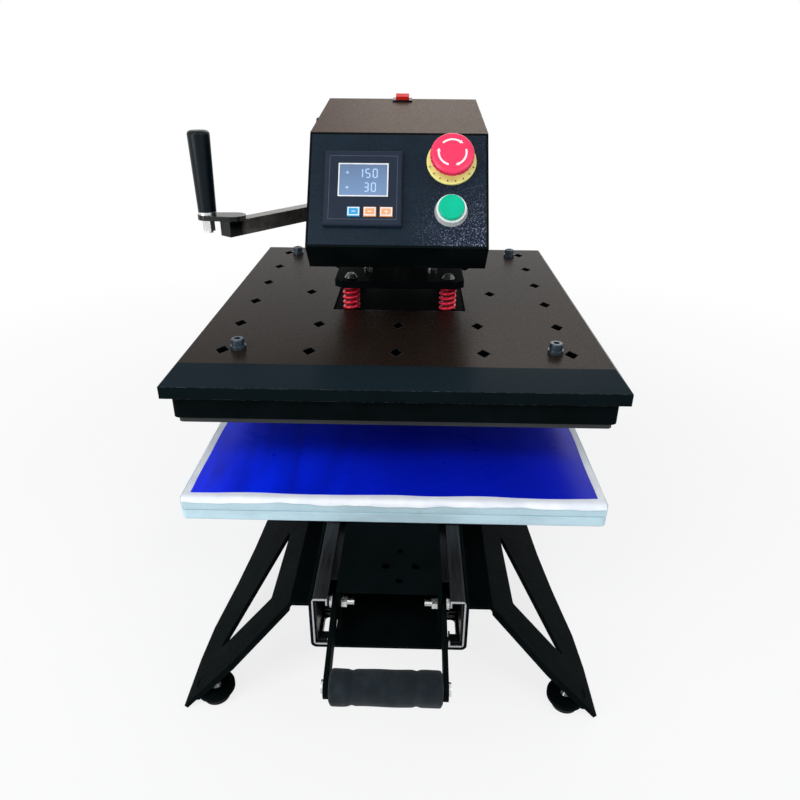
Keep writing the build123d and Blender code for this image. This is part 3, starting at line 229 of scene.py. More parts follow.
class Finish:
    """A material under way: its shader, and the textures that feed it."""

    def __init__(self, name, colour, roughness, metallic=0.0, specular=0.5, coat=0.0):
        self.material = bpy.data.materials.new(name)
        self.material.use_nodes = True
        self.tree = self.material.node_tree
        self.shader = self.tree.nodes["Principled BSDF"]
        self.put("Base Color", (*colour, 1.0))
        self.put("Roughness", roughness)
        self.put("Metallic", metallic)
        self.put("Specular IOR Level", specular)
        if coat:
            self.put("Coat Weight", coat)
            self.put("Coat Roughness", LACQUER_ROUGHNESS)
        self.material.diffuse_color = (*colour, 1.0)
        self.place = self.add("ShaderNodeTexCoord").outputs["Object"]

    def put(self, socket, value):
        """Set one of the shader's own values."""
        self.shader.inputs[socket].default_value = value

    def add(self, kind, **settings):
        """Add a node with these settings."""
        node = self.tree.nodes.new(kind)
        for key, value in settings.items():
            setattr(node, key, value)
        return node

    def link(self, output, node, socket):
        """Lead an output into a node's socket."""
        self.tree.links.new(output, node.inputs[socket])

    def stretched(self, scale):
        """Places scaled along the three axes, for grains that are longer one way."""
        mapping = self.add("ShaderNodeMapping")
        mapping.inputs["Scale"].default_value = scale
        self.link(self.place, mapping, "Vector")
        return mapping.outputs["Vector"]

    def noise(self, size, detail=2.0, rough=0.5, place=None, warp=0.0):
        """Noise whose grains are about this many metres across."""
        node = self.add("ShaderNodeTexNoise")
        node.inputs["Scale"].default_value = 1.0 / size
        node.inputs["Detail"].default_value = detail
        node.inputs["Roughness"].default_value = rough
        node.inputs["Distortion"].default_value = warp
        self.link(place or self.place, node, "Vector")
        return node.outputs["Fac"]

    def cells(self, size):
        """Small pits that are about this many metres across."""
        node = self.add("ShaderNodeTexVoronoi")
        node.inputs["Scale"].default_value = 1.0 / size
        self.link(self.place, node, "Vector")
        return node.outputs["Distance"]

    def ramp(self, value, low, high, dark, light):
        """Blend from one colour to another as the value goes from low to high."""
        node = self.add("ShaderNodeValToRGB")
        node.color_ramp.elements[0].position = low
        node.color_ramp.elements[0].color = (*dark, 1.0)
        node.color_ramp.elements[1].position = high
        node.color_ramp.elements[1].color = (*light, 1.0)
        self.link(value, node, "Fac")
        return node.outputs["Color"]

    def span(self, value, low, high, start, end):
        """Map a value's range to another one."""
        node = self.add("ShaderNodeMapRange")
        for key, number in zip(("From Min", "From Max", "To Min", "To Max"), (low, high, start, end)):
            node.inputs[key].default_value = number
        self.link(value, node, "Value")
        return node.outputs["Result"]

    def math(self, operation, first, second):
        """Combine two values, each a number or an output."""
        node = self.add("ShaderNodeMath", operation=operation)
        for index, value in enumerate((first, second)):
            if isinstance(value, (int, float)):
                node.inputs[index].default_value = value
            else:
                self.link(value, node, index)
        return node.outputs["Value"]

    def axis(self, name, of=None):
        """One coordinate of a place, or of another vector."""
        node = self.add("ShaderNodeSeparateXYZ")
        self.link(of or self.place, node, "Vector")
        return node.outputs[name]

    def facing_up(self, low=0.985, high=0.998):
        """One on faces that look straight up, and nought on faces steeper than the lower limit."""
        normal = self.add("ShaderNodeTexCoord").outputs["Normal"]
        return self.span(self.axis("Z", normal), low, high, 0.0, 1.0)

    def edges(self, radius):
        """One along sharp edges, broken up in patches, and nought elsewhere."""
        rounded = self.add("ShaderNodeBevel", samples=8)
        rounded.inputs["Radius"].default_value = radius
        plain = self.add("ShaderNodeNewGeometry").outputs["Normal"]
        alike = self.add("ShaderNodeVectorMath", operation="DOT_PRODUCT")
        self.link(rounded.outputs["Normal"], alike, 0)
        self.link(plain, alike, 1)
        edge = self.span(alike.outputs["Value"], 0.985, 0.9, 0.0, 1.0)
        mottled = self.span(self.noise(0.004, 3.0, 0.6), 0.45, 0.62, 0.0, 1.0)
        return self.math("MULTIPLY", edge, mottled)

    def blend(self, amount, first, second):
        """Mix two colours, given as colours or as outputs."""
        node = self.add("ShaderNodeMix", data_type="RGBA")
        self.tree.links.new(amount, node.inputs["Factor"])
        for index, value in ((FIRST_COLOUR, first), (SECOND_COLOUR, second)):
            if isinstance(value, tuple):
                node.inputs[index].default_value = (*value, 1.0)
            else:
                self.tree.links.new(value, node.inputs[index])
        return node.outputs[MIXED_COLOUR]

    def colour(self, output):
        """Colour the shader by an output."""
        self.link(output, self.shader, "Base Color")

    def gloss(self, output):
        """Let an output set how rough the shader is."""
        self.link(output, self.shader, "Roughness")

    def relief(self, height, depth, strength=1.0, edge=0.0):
        """Bumps of this depth in metres, over edges that are rounded by this radius."""
        bump = self.add("ShaderNodeBump")
        bump.inputs["Distance"].default_value = depth
        bump.inputs["Strength"].default_value = strength
        self.link(height, bump, "Height")
        if edge:
            rounded = self.add("ShaderNodeBevel", samples=6)
            rounded.inputs["Radius"].default_value = edge
            self.link(rounded.outputs["Normal"], bump, "Normal")
        self.link(bump.outputs["Normal"], self.shader, "Normal")


def powder_coat(
    name, colour, light, grain, depth, roughness=0.38, specular=0.06, edge=0.0009,
    painted_top_reflection=None, slope=None, wear=False
):
    """Powder coat with fine orange peel, with painted reflections in other colours on level and sloping faces, and
    lighter edges that are partly wear and partly a painted highlight, if given.
    """
    coat = Finish(name, colour, roughness, specular=specular)
    shade = coat.ramp(coat.noise(0.03, 3.0), 0.35, 0.75, colour, light)
    # Painted reflection: a lighter cast on faces that slope upwards.
    if slope:
        shade = coat.blend(coat.facing_up(0.1, 0.4), shade, slope)
    # Painted reflection: a warm cast on faces that look straight up.
    if painted_top_reflection:
        shade = coat.blend(coat.facing_up(), shade, painted_top_reflection)
    # Lighter sharp edges: partly worn coat, partly a painted highlight along the bends.
    if wear:
        shade = coat.blend(coat.edges(0.0005), shade, (0.12, 0.13, 0.14))
    coat.colour(shade)
    peel = coat.noise(grain, 2.0, 0.6)
    coat.gloss(coat.span(coat.noise(grain * 2.5, 2.0), 0.3, 0.7, roughness - 0.07, roughness + 0.1))
    coat.relief(peel, depth, 0.8, edge)
    return coat.material


# How far brush lines are drawn out along each axis
UPRIGHT_LINES = (1, 1, 0.2)
LONG_UPRIGHT_LINES = (1, 1, 0.05)
SIDEWAYS_LINES = (0.06, 1, 1)
EVEN_GRAIN = (1, 1, 1)


def brushed(name, colour, roughness, stretch, depth=0.00002, metallic=1.0, edge=0.0004):
    """Metal with fine brush lines along one direction."""
    metal = Finish(name, colour, roughness, metallic)
    lines = metal.noise(0.0012, 3.0, place=metal.stretched(stretch))
    patches = metal.noise(0.02, 3.0)
    metal.colour(metal.ramp(patches, 0.3, 0.75, shaded(colour, 0.8), colour))
    metal.gloss(metal.span(lines, 0.3, 0.7, roughness - 0.06, roughness + 0.14))
    metal.relief(lines, depth, 0.6, edge)
    return metal.material


def moulded(name, colour, roughness, grain=0.0009, depth=0.00002, coat=0.0, edge=0.0005, specular=0.4):
    """Moulded plastic with a faint grain and slightly uneven gloss."""
    plastic = Finish(name, colour, roughness, specular=specular, coat=coat)
    patches = plastic.noise(0.012, 2.0)
    plastic.colour(plastic.ramp(patches, 0.3, 0.8, shaded(colour, 0.86), colour))
    plastic.gloss(plastic.span(patches, 0.3, 0.7, roughness - 0.05, roughness + 0.07))
    plastic.relief(plastic.noise(grain, 2.0), depth, 0.5, edge)
    return plastic.material


def panel_finish(colours):
    """Blue-black grained coat, with painted glints on its grains towards the lower right corner."""
    colour = tuple(colours.panel)
    coat = Finish("grained panel coat", colour, 0.28, specular=0.12)
    shade = coat.ramp(coat.noise(0.03, 3.0), 0.35, 0.75, colour, shaded(colour, 1.3))
    # Painted glints: pale blue-grey flecks on the grains, thicker towards the lower right, stand in for light
    # catching the coat.
    low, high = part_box("control_panel")
    right = coat.span(coat.axis("X"), low.x * 0.1 + high.x * 0.2, high.x, 0.0, 1.0)
    lower = coat.span(coat.axis("Z"), low.z * 0.4 + high.z * 0.6, low.z, 0.1, 1.0)
    grains = coat.span(coat.noise(0.0012, 1.0, 0.5), 0.56, 0.7, 0.0, 1.0)
    painted_glints = coat.math("MULTIPLY", coat.math("MULTIPLY", right, lower), grains)
    coat.colour(coat.blend(painted_glints, shade, (0.3, 0.31, 0.46)))
    coat.gloss(coat.span(coat.noise(0.004, 2.0), 0.3, 0.7, 0.2, 0.36))
    coat.relief(coat.noise(0.0017, 2.0, 0.6), 0.0003, 0.8, 0.0012)
    return coat.material


def arm_finish(black):
    """Swing arm: a warm metallic grey along its bar, partly its own tone and partly a painted warm sheen, and
    black at the grip's end.
    """
    coat = Finish("swing arm coat", (0.05, 0.046, 0.041), 0.26, 0.4, specular=0.4)
    bar_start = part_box("swing_handle_arm")[0].x + 46 * MM
    along_bar = coat.span(coat.axis("X"), bar_start, bar_start + 4 * MM, 0.0, 1.0)
    bar_streaks = coat.noise(0.006, 3.0, 0.6, place=coat.stretched((0.15, 1.0, 1.0)))
    # Warm grey streaks along the bar: partly the bar's own tone, partly a painted sheen.
    mottled = coat.ramp(bar_streaks, 0.3, 0.7, (0.09, 0.08, 0.07), (0.2, 0.184, 0.165))
    coat.colour(coat.blend(along_bar, black, mottled))
    coat.relief(bar_streaks, 0.00003, 0.6, 0.0009)
    return coat.material


def slide_finish(name, bright):
    """Dark passivated slide members, their cut ends at the operator's side bright if asked."""
    metal = Finish(name, (0.03, 0.031, 0.033), 0.36, 0.6, specular=0.2)
    lines = metal.noise(0.0015, 3.0, place=metal.stretched((1, 0.05, 1)))
    shade = metal.ramp(lines, 0.3, 0.8, (0.012, 0.013, 0.014), (0.035, 0.036, 0.038))
    if bright:
        cut_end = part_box("slide_outer")[0].y
        reach = metal.span(metal.axis("Y"), cut_end + 0.8 * MM, cut_end + 1.0 * MM, 1.0, 0.0)
        shade = metal.blend(reach, shade, (0.42, 0.43, 0.45))
    metal.colour(shade)
    metal.gloss(metal.span(lines, 0.3, 0.7, 0.28, 0.46))
    metal.relief(lines, 0.00003, 0.6, 0.0006)
    return metal.material


def silicone_finish(colours):
    """Pale blue-grey silicone foam with fine pores, faint stains and specks."""
    pale = tuple(colours.pad)
    foam = Finish("silicone foam", pale, 0.75, specular=0.3)
    pores = foam.cells(0.0022)
    stain = foam.noise(0.05, 4.0, 0.6)
    base = foam.ramp(stain, 0.3, 0.7, shaded(pale, 0.86), pale)
    speck = foam.ramp(foam.noise(0.006, 2.0), 0.62, 0.72, (0, 0, 0), (0.35, 0.35, 0.35))
    foam.colour(foam.blend(speck, base, (0.42, 0.52, 0.56)))
    foam.relief(pores, 0.00025, 0.6, 0.001)
    return foam.material


def pale_platen_finish(colours):
    """Lower platen coated in the pad's own pale blue-grey, a little scuffed."""
    pale = tuple(colours.pad)
    coat = Finish("pale platen coat", pale, 0.5, specular=0.3)
    scuff = coat.noise(0.012, 5.0, 0.65, place=coat.stretched((0.3, 0.3, 1.0)))
    coat.colour(coat.ramp(scuff, 0.3, 0.62, shaded(pale, 0.84), pale))
    coat.gloss(coat.span(scuff, 0.3, 0.7, 0.42, 0.6))
    coat.relief(coat.noise(0.0014, 2.0), 0.00004, 0.6, 0.001)
    return coat.material


def cloth_finish(colours):
    """White woven cloth, with painted bluish shade in its folds."""
    white = tuple(colours.cloth)
    threads = 260.0
    cloth = Finish("white cloth", white, 0.85, specular=0.2)
    cloth.put("Sheen Weight", 0.25)
    warp = cloth.add("ShaderNodeTexWave", wave_type="BANDS", bands_direction="X")
    weft = cloth.add("ShaderNodeTexWave", wave_type="BANDS", bands_direction="Y")
    for node in (warp, weft):
        node.inputs["Scale"].default_value = threads
        node.inputs["Distortion"].default_value = 0.6
        cloth.link(cloth.place, node, "Vector")
    weave = cloth.math("MULTIPLY", warp.outputs["Fac"], weft.outputs["Fac"])
    folds = cloth.noise(0.02, 3.0)
    # Painted shade: the folds' low parts are coloured bluish grey.
    cloth.colour(cloth.ramp(folds, 0.25, 0.7, (0.72, 0.76, 0.84), white))
    cloth.relief(cloth.math("ADD", weave, cloth.math("MULTIPLY", folds, 3.0)), 0.0002, 0.5)
    return cloth.material


def film_finish(colours):
    """Deep blue glossy film with long soft ripples, painted darker in their troughs as shade, and painted light in
    streaks at its left front.
    """
    deep = tuple(colours.film)
    film = Finish("blue release film", deep, 0.3, specular=0.1)
    ripples = film.noise(0.09, 2.0, place=film.stretched((1.0, 0.45, 1.0)), warp=0.4)
    # Painted shade: the ripples' troughs are coloured darker.
    base = film.ramp(ripples, 0.1, 0.9, shaded(deep, 0.6), deep)
    low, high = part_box("blue_film")
    middle = (low + high) / 2
    # Painted light: lighter blue streaks towards the film's left front.
    left = film.span(film.axis("X"), low.x + 50 * MM, middle.x, 1.0, 0.0)
    near = film.span(film.axis("Y"), low.y + 120 * MM, middle.y + 60 * MM, 1.0, 0.1)
    painted_light_streaks = film.noise(0.03, 2.0, place=film.stretched((1.0, 0.2, 1.0)), warp=0.6)
    corner = film.math("MULTIPLY", left, near)
    lit = film.math("MULTIPLY", corner, film.span(painted_light_streaks, 0.35, 0.65, 0.25, 1.0))
    bright = (deep[0], deep[1] * 2, min(1.0, deep[2] * 1.6))
    film.colour(film.blend(lit, base, bright))
    film.gloss(film.span(film.noise(0.04, 2.0), 0.3, 0.7, 0.27, 0.36))
    film.relief(ripples, 0.0012, 0.3)
    return film.material


def foam_finish(colours):
    """Slate black foam rubber of the grip, worn a little lighter in patches."""
    slate = tuple(colours.foam)
    foam = Finish("grip foam", slate, 0.9, specular=0.12)
    foam.put("Sheen Weight", 0.08)
    pores = foam.cells(0.0011)
    wear = foam.noise(0.014, 3.0)
    foam.colour(foam.ramp(wear, 0.4, 0.75, slate, shaded(slate, 1.7, 0.004)))
    foam.relief(foam.math("ADD", pores, wear), 0.00035, 0.8)
    return foam.material


def wool_finish():
    """Matted mineral wool under the cover."""
    wool = Finish("dark mineral wool", (0.04, 0.039, 0.036), 0.95, specular=0.05)
    fibres = wool.noise(0.003, 5.0, 0.7, place=wool.stretched((1, 0.3, 1)), warp=1.5)
    wool.colour(wool.ramp(fibres, 0.3, 0.75, (0.012, 0.012, 0.011), (0.05, 0.048, 0.044)))
    wool.relief(fibres, 0.001, 0.8)
    return wool.material


def display_finish(colours):
    """Backlit grey-blue liquid crystal display, darker towards its top."""
    lit = tuple(colours.display)
    glass = Finish("display", lit, 0.2, specular=0.5)
    low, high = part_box("controller_display")
    height = glass.span(glass.axis("Z"), low.z, high.z, 0.0, 1.0)
    glass.colour(glass.ramp(height, 0.1, 0.95, lit, shaded(lit, 0.62)))
    glass.put("Emission Color", (*lit, 1.0))
    glass.put("Emission Strength", 0.35)
    glass.relief(glass.noise(0.004, 2.0), 0.00001, 0.3)
    return glass.material


def lit_digits():
    """Pale blue digits that shine a little."""
    digits = moulded("lit digits", (0.4, 0.55, 0.8), 0.4, edge=0.0)
    glow = digits.node_tree.nodes["Principled BSDF"]
    glow.inputs["Emission Color"].default_value = (0.3, 0.48, 0.8, 1.0)
    glow.inputs["Emission Strength"].default_value = 0.3
    return digits


def finishes(colours):
    """Every material by the record's slot, and the ones that only the scene needs."""
    black = tuple(colours.coat)
    lighter = shaded(black, 1.6, 0.0006)
    return {
        "black_powder": powder_coat(
            "black powder coat", black, lighter, grain=0.0009, depth=0.00003,
            roughness=0.62, specular=0.01
        ),
        "panel": panel_finish(colours),
        "arm": arm_finish(black),
        # The box's warm top is a painted reflection.
        "housing": powder_coat(
            "control box coat", black, lighter, grain=0.0008, depth=0.00001,
            roughness=0.42, specular=0.03, edge=0.0012, painted_top_reflection=(0.115, 0.058, 0.036)
        ),
        # The cover's warm top and blue-grey bend are painted reflections; its edges carry wear and a painted
        # highlight.
        "cover": powder_coat(
            "platen cover coat", (0.0012, 0.0042, 0.0055), (0.002, 0.0055, 0.007),
            grain=0.0006, depth=0.000008, roughness=0.27, specular=0.03, edge=0.0014,
            painted_top_reflection=tuple(colours.cover), slope=(0.0085, 0.0165, 0.022), wear=True
        ),
        "dark_bolts": brushed("blackened bolts", (0.12, 0.125, 0.13), 0.15, UPRIGHT_LINES, metallic=0.7),
        "heater": brushed("anodised heater", (0.016, 0.02, 0.021), 0.45, SIDEWAYS_LINES, metallic=0.3),
        "pale_platen": pale_platen_finish(colours),
        "slide_steel": slide_finish("slide steel", True),
        "slide_dark": slide_finish("dark slide steel", False),
        "steel": brushed("bright steel", (0.55, 0.56, 0.57), 0.3, LONG_UPRIGHT_LINES),
        "platen_aluminium": brushed("platen aluminium", (0.6, 0.62, 0.63), 0.42, SIDEWAYS_LINES),
        "zinc_screws": brushed("zinc plated screws", (0.72, 0.72, 0.72), 0.26, UPRIGHT_LINES),
        "blued_screws": brushed(
            "blued steel screws", (0.07, 0.095, 0.125), 0.3, UPRIGHT_LINES, metallic=0.8
        ),
        "chrome": brushed("hard chrome", (0.62, 0.63, 0.65), 0.12, (1, 1, 0.04), depth=0.000005),
        "bronze": brushed("sintered bronze", (0.42, 0.3, 0.16), 0.45, EVEN_GRAIN),
        "rubber": moulded(
            "foot rubber", (0.008, 0.008, 0.008), 0.7, grain=0.0016, depth=0.00005, specular=0.15
        ),
        "foam": foam_finish(colours),
        "silicone": silicone_finish(colours),
        "white_cloth": cloth_finish(colours),
        "blue_film": film_finish(colours),
        "black_plastic": moulded("black plastic", (0.002, 0.006, 0.009), 0.34, specular=0.13),
        # A painted highlight along the bezel's frame step.
        "bezel_step_highlight": moulded("bezel step highlight", (0.05, 0.075, 0.11), 0.35, edge=0.0),
        "bezel": moulded("controller bezel", (0.012, 0.02, 0.038), 0.4, specular=0.14),
        "display_glass": display_finish(colours),
        "blue_key": moulded("blue key", (0.02, 0.36, 0.72), 0.4),
        "orange_key": moulded("orange key", (0.9, 0.4, 0.17), 0.4),
        "green_button": moulded("green button", tuple(colours.button), 0.42, specular=0.15),
        "button_ring": brushed("button ring", (0.9, 0.92, 0.92), 0.34, UPRIGHT_LINES, metallic=0.5),
        "yellow_ring": moulded("yellow ring", (1.0, 0.96, 0.32), 0.5),
        "red_button": moulded("red mushroom", tuple(colours.mushroom), 0.34, coat=0.15),
        "red_rocker": moulded("red rocker", (0.75, 0.015, 0.012), 0.25, coat=0.5),
        "red_spring": powder_coat(
            "red enamel", (0.7, 0.004, 0.03), (0.85, 0.012, 0.06), grain=0.001, depth=0.00002,
            roughness=0.2, specular=0.5, edge=0.0004
        ),
        "wool": wool_finish(),
        "print": moulded("white print", (0.86, 0.87, 0.88), 0.5, edge=0.0),
        "digits": lit_digits(),
        "ink": moulded("black ink", (0.02, 0.02, 0.02), 0.5, edge=0.0),
    }


# Every material by its name, filled when the frame is finished
MADE = {}

# Nodes whose finish differs from the one of their slot
SPECIAL = {
    "control_panel": "panel",
    "controller_body": "bezel",
    "swing_handle_arm": "arm",
    "housing_shell": "housing",
    "platen_cover": "cover",
    "pivot_shaft": "steel",
    "handle_rod": "steel",
    "mount_plate": "black_powder",
    "float_bolts": "dark_bolts",
    "base_screws": "dark_bolts",
    "exhaust_silencer": "black_plastic",
    "slide_middle": "slide_dark",
    "slide_inner": "slide_dark",
    "heat_platen": "heater",
    "lower_platen": "pale_platen",
}


# Sizes and colours that a user would change

def length_setting(name, default, description):
    """A length that a user can set."""
    return FloatProperty(name=name, default=default, unit="LENGTH", description=description)


def colour_setting(name, default, description):
    """A colour that a user can set."""
    return FloatVectorProperty(
        name=name, subtype="COLOR", size=3, default=default, description=description
    )


class PressSizes(bpy.types.PropertyGroup):
    """Sizes of the soft parts and of the small details."""

    hem_drop: length_setting(
        "Hem drop", 3.0 * MM, "How far the cloth's front hem hangs over the pad's edge"
    )
    hem_wave: length_setting(
        "Hem wave", 2.0 * MM, "How much the cloth's front hem rises and falls"
    )
    cloth_thickness: length_setting(
        "Cloth thickness", 0.5 * MM, "Thickness of the white cloth"
    )
    film_thickness: length_setting(
        "Film thickness", 0.25 * MM, "Thickness of the blue film"
    )
    film_wave: length_setting(
        "Film edge wave", 3.2 * MM, "How much the film's edges wander"
    )
    grip_sides: IntProperty(
        name="Grip sides", default=64, min=16, max=128,
        description="Number of sides round the foam grip",
    )
    grip_unevenness: length_setting(
        "Grip unevenness", 0.7 * MM, "How uneven the foam sleeve's surface is"
    )
    digit_height: length_setting(
        "Digit height", 9.5 * MM, "Height of the display's larger digits"
    )
    show_floor: BoolProperty(
        name="Floor", default=True, description="Set the press on a plain floor",
    )


class PressColours(bpy.types.PropertyGroup):
    """Colours of the finishes."""

    coat: colour_setting("Powder coat", (0.0014, 0.0028, 0.003), "Black of the powder-coated frame")
    panel: colour_setting("Control box", (0.004, 0.0115, 0.021), "Blue-black of the control box")
    # The cover colour is painted only on the cover's level top faces, as a painted warm reflection.
    cover: colour_setting("Platen cover", (0.017, 0.011, 0.008), "Warm black of the upper platen's cover")
    pad: colour_setting("Pad", (0.5, 0.68, 0.75), "Pale blue-grey of the silicone pad")
    cloth: colour_setting("Cloth", (0.88, 0.9, 0.92), "White of the cloth on the pad")
    film: colour_setting("Film", (0.001, 0.012, 0.62), "Deep blue of the release film")
    foam: colour_setting("Foam", (0.007, 0.011, 0.014), "Slate black of the foam grip")
    display: colour_setting("Display", (0.12, 0.2, 0.34), "Grey-blue of the display's background")
    button: colour_setting("Start button", (0.0, 0.52, 0.3), "Green of the start button")
    mushroom: colour_setting("Stop switch", (0.9, 0.025, 0.11), "Pinkish red of the stop switch")


def sizes():
    """The sizes that the user has set."""
    return bpy.context.scene.press_sizes


# Operators, one for each piece or group of like pieces

class FinishFrame(bpy.types.Operator):
    """Give every carried-over solid its finish"""

    bl_idname = "press.finish_frame"
    bl_label = "Finish the frame"

    def execute(self, context):
        MADE.clear()
        MADE.update(finishes(context.scene.press_colours))
        for part in frame["record"]["subparts"]:
            node = part["node"]
            obj = frame["nodes"][node]
            material = MADE[SPECIAL.get(node, part["material_slot"])]
            obj.data.materials.clear()
            obj.data.materials.append(material)
        return {"FINISHED"}


class LayPad(bpy.types.Operator):
    """Lay the silicone foam pad on the lower platen"""

    bl_idname = "press.lay_pad"
    bl_label = "Silicone pad"

    def execute(self, context):
        low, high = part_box("silicone_pad")
        size = high - low
        middle = (low + high) / 2
        pad = level_grid(size.x, size.y, 72, 90, (middle.x, middle.y, high.z))
        add_modifier(pad, "SOLIDIFY", thickness=size.z, offset=-1.0)
        add_modifier(
            pad, "BEVEL", width=1.1 * MM, segments=3, limit_method="ANGLE",
            angle_limit=math.radians(60),
        )
        rim = 0.985
        side_pull, side_wave, side_bump = 0.7 * MM, 0.6 * MM, 45 * MM
        sink, sink_wave, sink_bump = 0.25 * MM, 0.2 * MM, 60 * MM
        for vertex in pad.data.vertices:
            place = vertex.co
            edge_x = abs(place.x - middle.x) / (size.x / 2)
            edge_y = abs(place.y - middle.y) / (size.y / 2)
            if edge_y > rim:
                pull = side_pull + side_wave * wobble(place, side_bump, 3.0)
                place.y -= math.copysign(pull, place.y - middle.y)
            if edge_x > rim:
                pull = side_pull + side_wave * wobble(place, side_bump, 5.0)
                place.x -= math.copysign(pull, place.x - middle.x)
            if place.z > middle.z:
                place.z -= sink + sink_wave * wobble(place, sink_bump, 7.0)
        finish(pad, "foam_pad", "drawer", MADE["silicone"])
        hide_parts("silicone_pad")
        return {"FINISHED"}


class LayCloth(bpy.types.Operator):
    """Lay the white cloth over the pad, with its hem hanging over the front edge"""

    bl_idname = "press.lay_cloth"
    bl_label = "White cloth"

    def execute(self, context):
        size = sizes()
        low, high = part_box("white_sheet")
        width = high.x - low.x
        fold = 2.0 * MM
        bend = fold * math.pi / 2
        clearance = 0.3 * MM
        flare = 0.9 * MM
        wander = 0.9 * MM
        flat = high.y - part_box("silicone_pad")[0].y - fold
        drop = size.hem_drop
        length = flat + bend + drop
        cloth = level_grid(width, length, 200, 150)
        middle_x = (low.x + high.x) / 2
        for vertex in cloth.data.vertices:
            x = vertex.co.x + middle_x
            run = length / 2 - vertex.co.y
            y = high.y - min(run, flat)
            z = high.z
            if run > flat:
                angle = min((run - flat) / fold, math.pi / 2)
                y -= (fold + clearance) * math.sin(angle)
                z -= fold * (1 - math.cos(angle))
                wave = wobble((x, 0, 0), 0.05, 2.0) + 0.5 * wobble((x, 0, 0), 0.019, 4.0)
                below = max(0.0, run - flat - bend)
                z -= below * (1 + size.hem_wave / drop * wave * 1.4)
                y -= flare * (run - flat) / (bend + drop) * (0.6 + wobble((x, 0, 0), 0.03, 6.0))
            edge = abs(vertex.co.x) / (width / 2)
            x += wander * wobble((0, y, 0), 0.06, 8.0) * edge ** 6
            vertex.co = (x, y, z)
        add_modifier(cloth, "SOLIDIFY", thickness=size.cloth_thickness, offset=-1.0)
        finish(cloth, "white_cloth_sheet", "drawer", MADE["white_cloth"], 60)
        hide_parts("white_sheet")
        return {"FINISHED"}


class LayFilm(bpy.types.Operator):
    """Lay the glossy blue release film on the cloth"""

    bl_idname = "press.lay_film"
    bl_label = "Blue release film"

    def execute(self, context):
        size = sizes()
        low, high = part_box("blue_film")
        middle = (low + high) / 2
        width = high.x - low.x
        length = high.y - low.y
        film = level_grid(width, length, 120, 150, (middle.x, middle.y, low.z))
        rest, edge_lift = 0.05 * MM, 0.1 * MM
        for vertex in film.data.vertices:
            place = vertex.co
            side = (place.x - middle.x) / (width / 2)
            end = (place.y - middle.y) / (length / 2)
            in_x = size.film_wave * (0.8 + wobble((0, place.y, 0), 0.07, 11.0 + side))
            in_y = size.film_wave * (0.8 + wobble((place.x, 0, 0), 0.06, 15.0 + end))
            place.x -= in_x * abs(side) ** 8 * math.copysign(1, side)
            place.y -= in_y * abs(end) ** 8 * math.copysign(1, end)
            lift = max(abs(side), abs(end)) ** 12
            place.z += rest + edge_lift * (1 + wobble(place, 0.03, 13.0)) * lift
        add_modifier(film, "SOLIDIFY", thickness=size.film_thickness, offset=1.0)
        finish(film, "release_film", "drawer", MADE["blue_film"], 60)
        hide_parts("blue_film")
        return {"FINISHED"}


def open_tube(start, length, middle, radius, sides, rings):
    """A thin tube along the X axis, open at both ends."""
    bpy.ops.mesh.primitive_circle_add(
        vertices=sides, radius=radius, location=(start, middle.y, middle.z),
        rotation=(0, math.pi / 2, 0),
    )
    tube = bpy.context.object
    apply_place(tube)
    alone(tube)
    bpy.ops.object.mode_set(mode="EDIT")
    bpy.ops.mesh.select_all(action="SELECT")
    for _ in range(rings):
        bpy.ops.mesh.extrude_region_move(
            TRANSFORM_OT_translate={"value": (length / rings, 0, 0)}
        )
    bpy.ops.object.mode_set(mode="OBJECT")
    return tube


def crease_foam(grip, middle, length, radius, unevenness):
    """Press two creases into the foam, round its ends and make it slightly uneven."""
    sunk = 1.0 * MM
    creases = (-26.0 * MM, 23.4 * MM)
    crease_depth, crease_reach = 0.9 * MM, 2.2 * MM
    round_end = 3.0 * MM
    for vertex in grip.data.vertices:
        place = vertex.co.copy()
        along = place.x - middle.x
        spoke = Vector((0, place.y - middle.y, place.z - middle.z))
        shrink = sunk - unevenness * wobble(place, 0.018, 21.0)
        for crease in creases:
            shrink += crease_depth * math.exp(-((along - crease) / crease_reach) ** 2)
        depth = length / 2 - abs(along)
        if depth < round_end:
            shrink += round_end - math.sqrt(max(0.0, round_end ** 2 - (round_end - depth) ** 2))
        spoke *= (radius - shrink) / radius
        vertex.co = (place.x, middle.y + spoke.y, middle.z + spoke.z)
    outward(grip)


def line_bore(grip, middle, bore):
    """Close the tube's ends inwards to a bore, and lead the bore through."""
    pick_open_edges(grip)
    bpy.ops.mesh.extrude_edges_move()
    bpy.ops.object.mode_set(mode="OBJECT")
    ends = [v for v in grip.data.vertices if v.select]
    for vertex in ends:
        spoke = Vector((0, vertex.co.y - middle.y, vertex.co.z - middle.z)).normalized()
        place = middle + spoke * bore
        vertex.co = (vertex.co.x, place.y, place.z)
    pick_open_edges(grip)
    bpy.ops.mesh.bridge_edge_loops()
    bpy.ops.object.mode_set(mode="OBJECT")
    outward(grip)


class SleeveGrip(bpy.types.Operator):
    """Slide the uneven foam sleeve onto the pull handle's rod"""

    bl_idname = "press.sleeve_grip"
    bl_label = "Foam grip"

    def execute(self, context):
        size = sizes()
        low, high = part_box("handle_grip")
        rod_low, rod_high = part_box("handle_rod")
        rod_play = 0.1 * MM
        middle = (low + high) / 2
        radius = (high.z - low.z) / 2
        length = high.x - low.x
        grip = open_tube(low.x, length, middle, radius, size.grip_sides, 60)
        crease_foam(grip, middle, length, radius, size.grip_unevenness)
        line_bore(grip, middle, (rod_high.z - rod_low.z) / 2 + rod_play)
        finish(grip, "foam_sleeve", "drawer", MADE["foam"], 50)
        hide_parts("handle_grip")
        return {"FINISHED"}


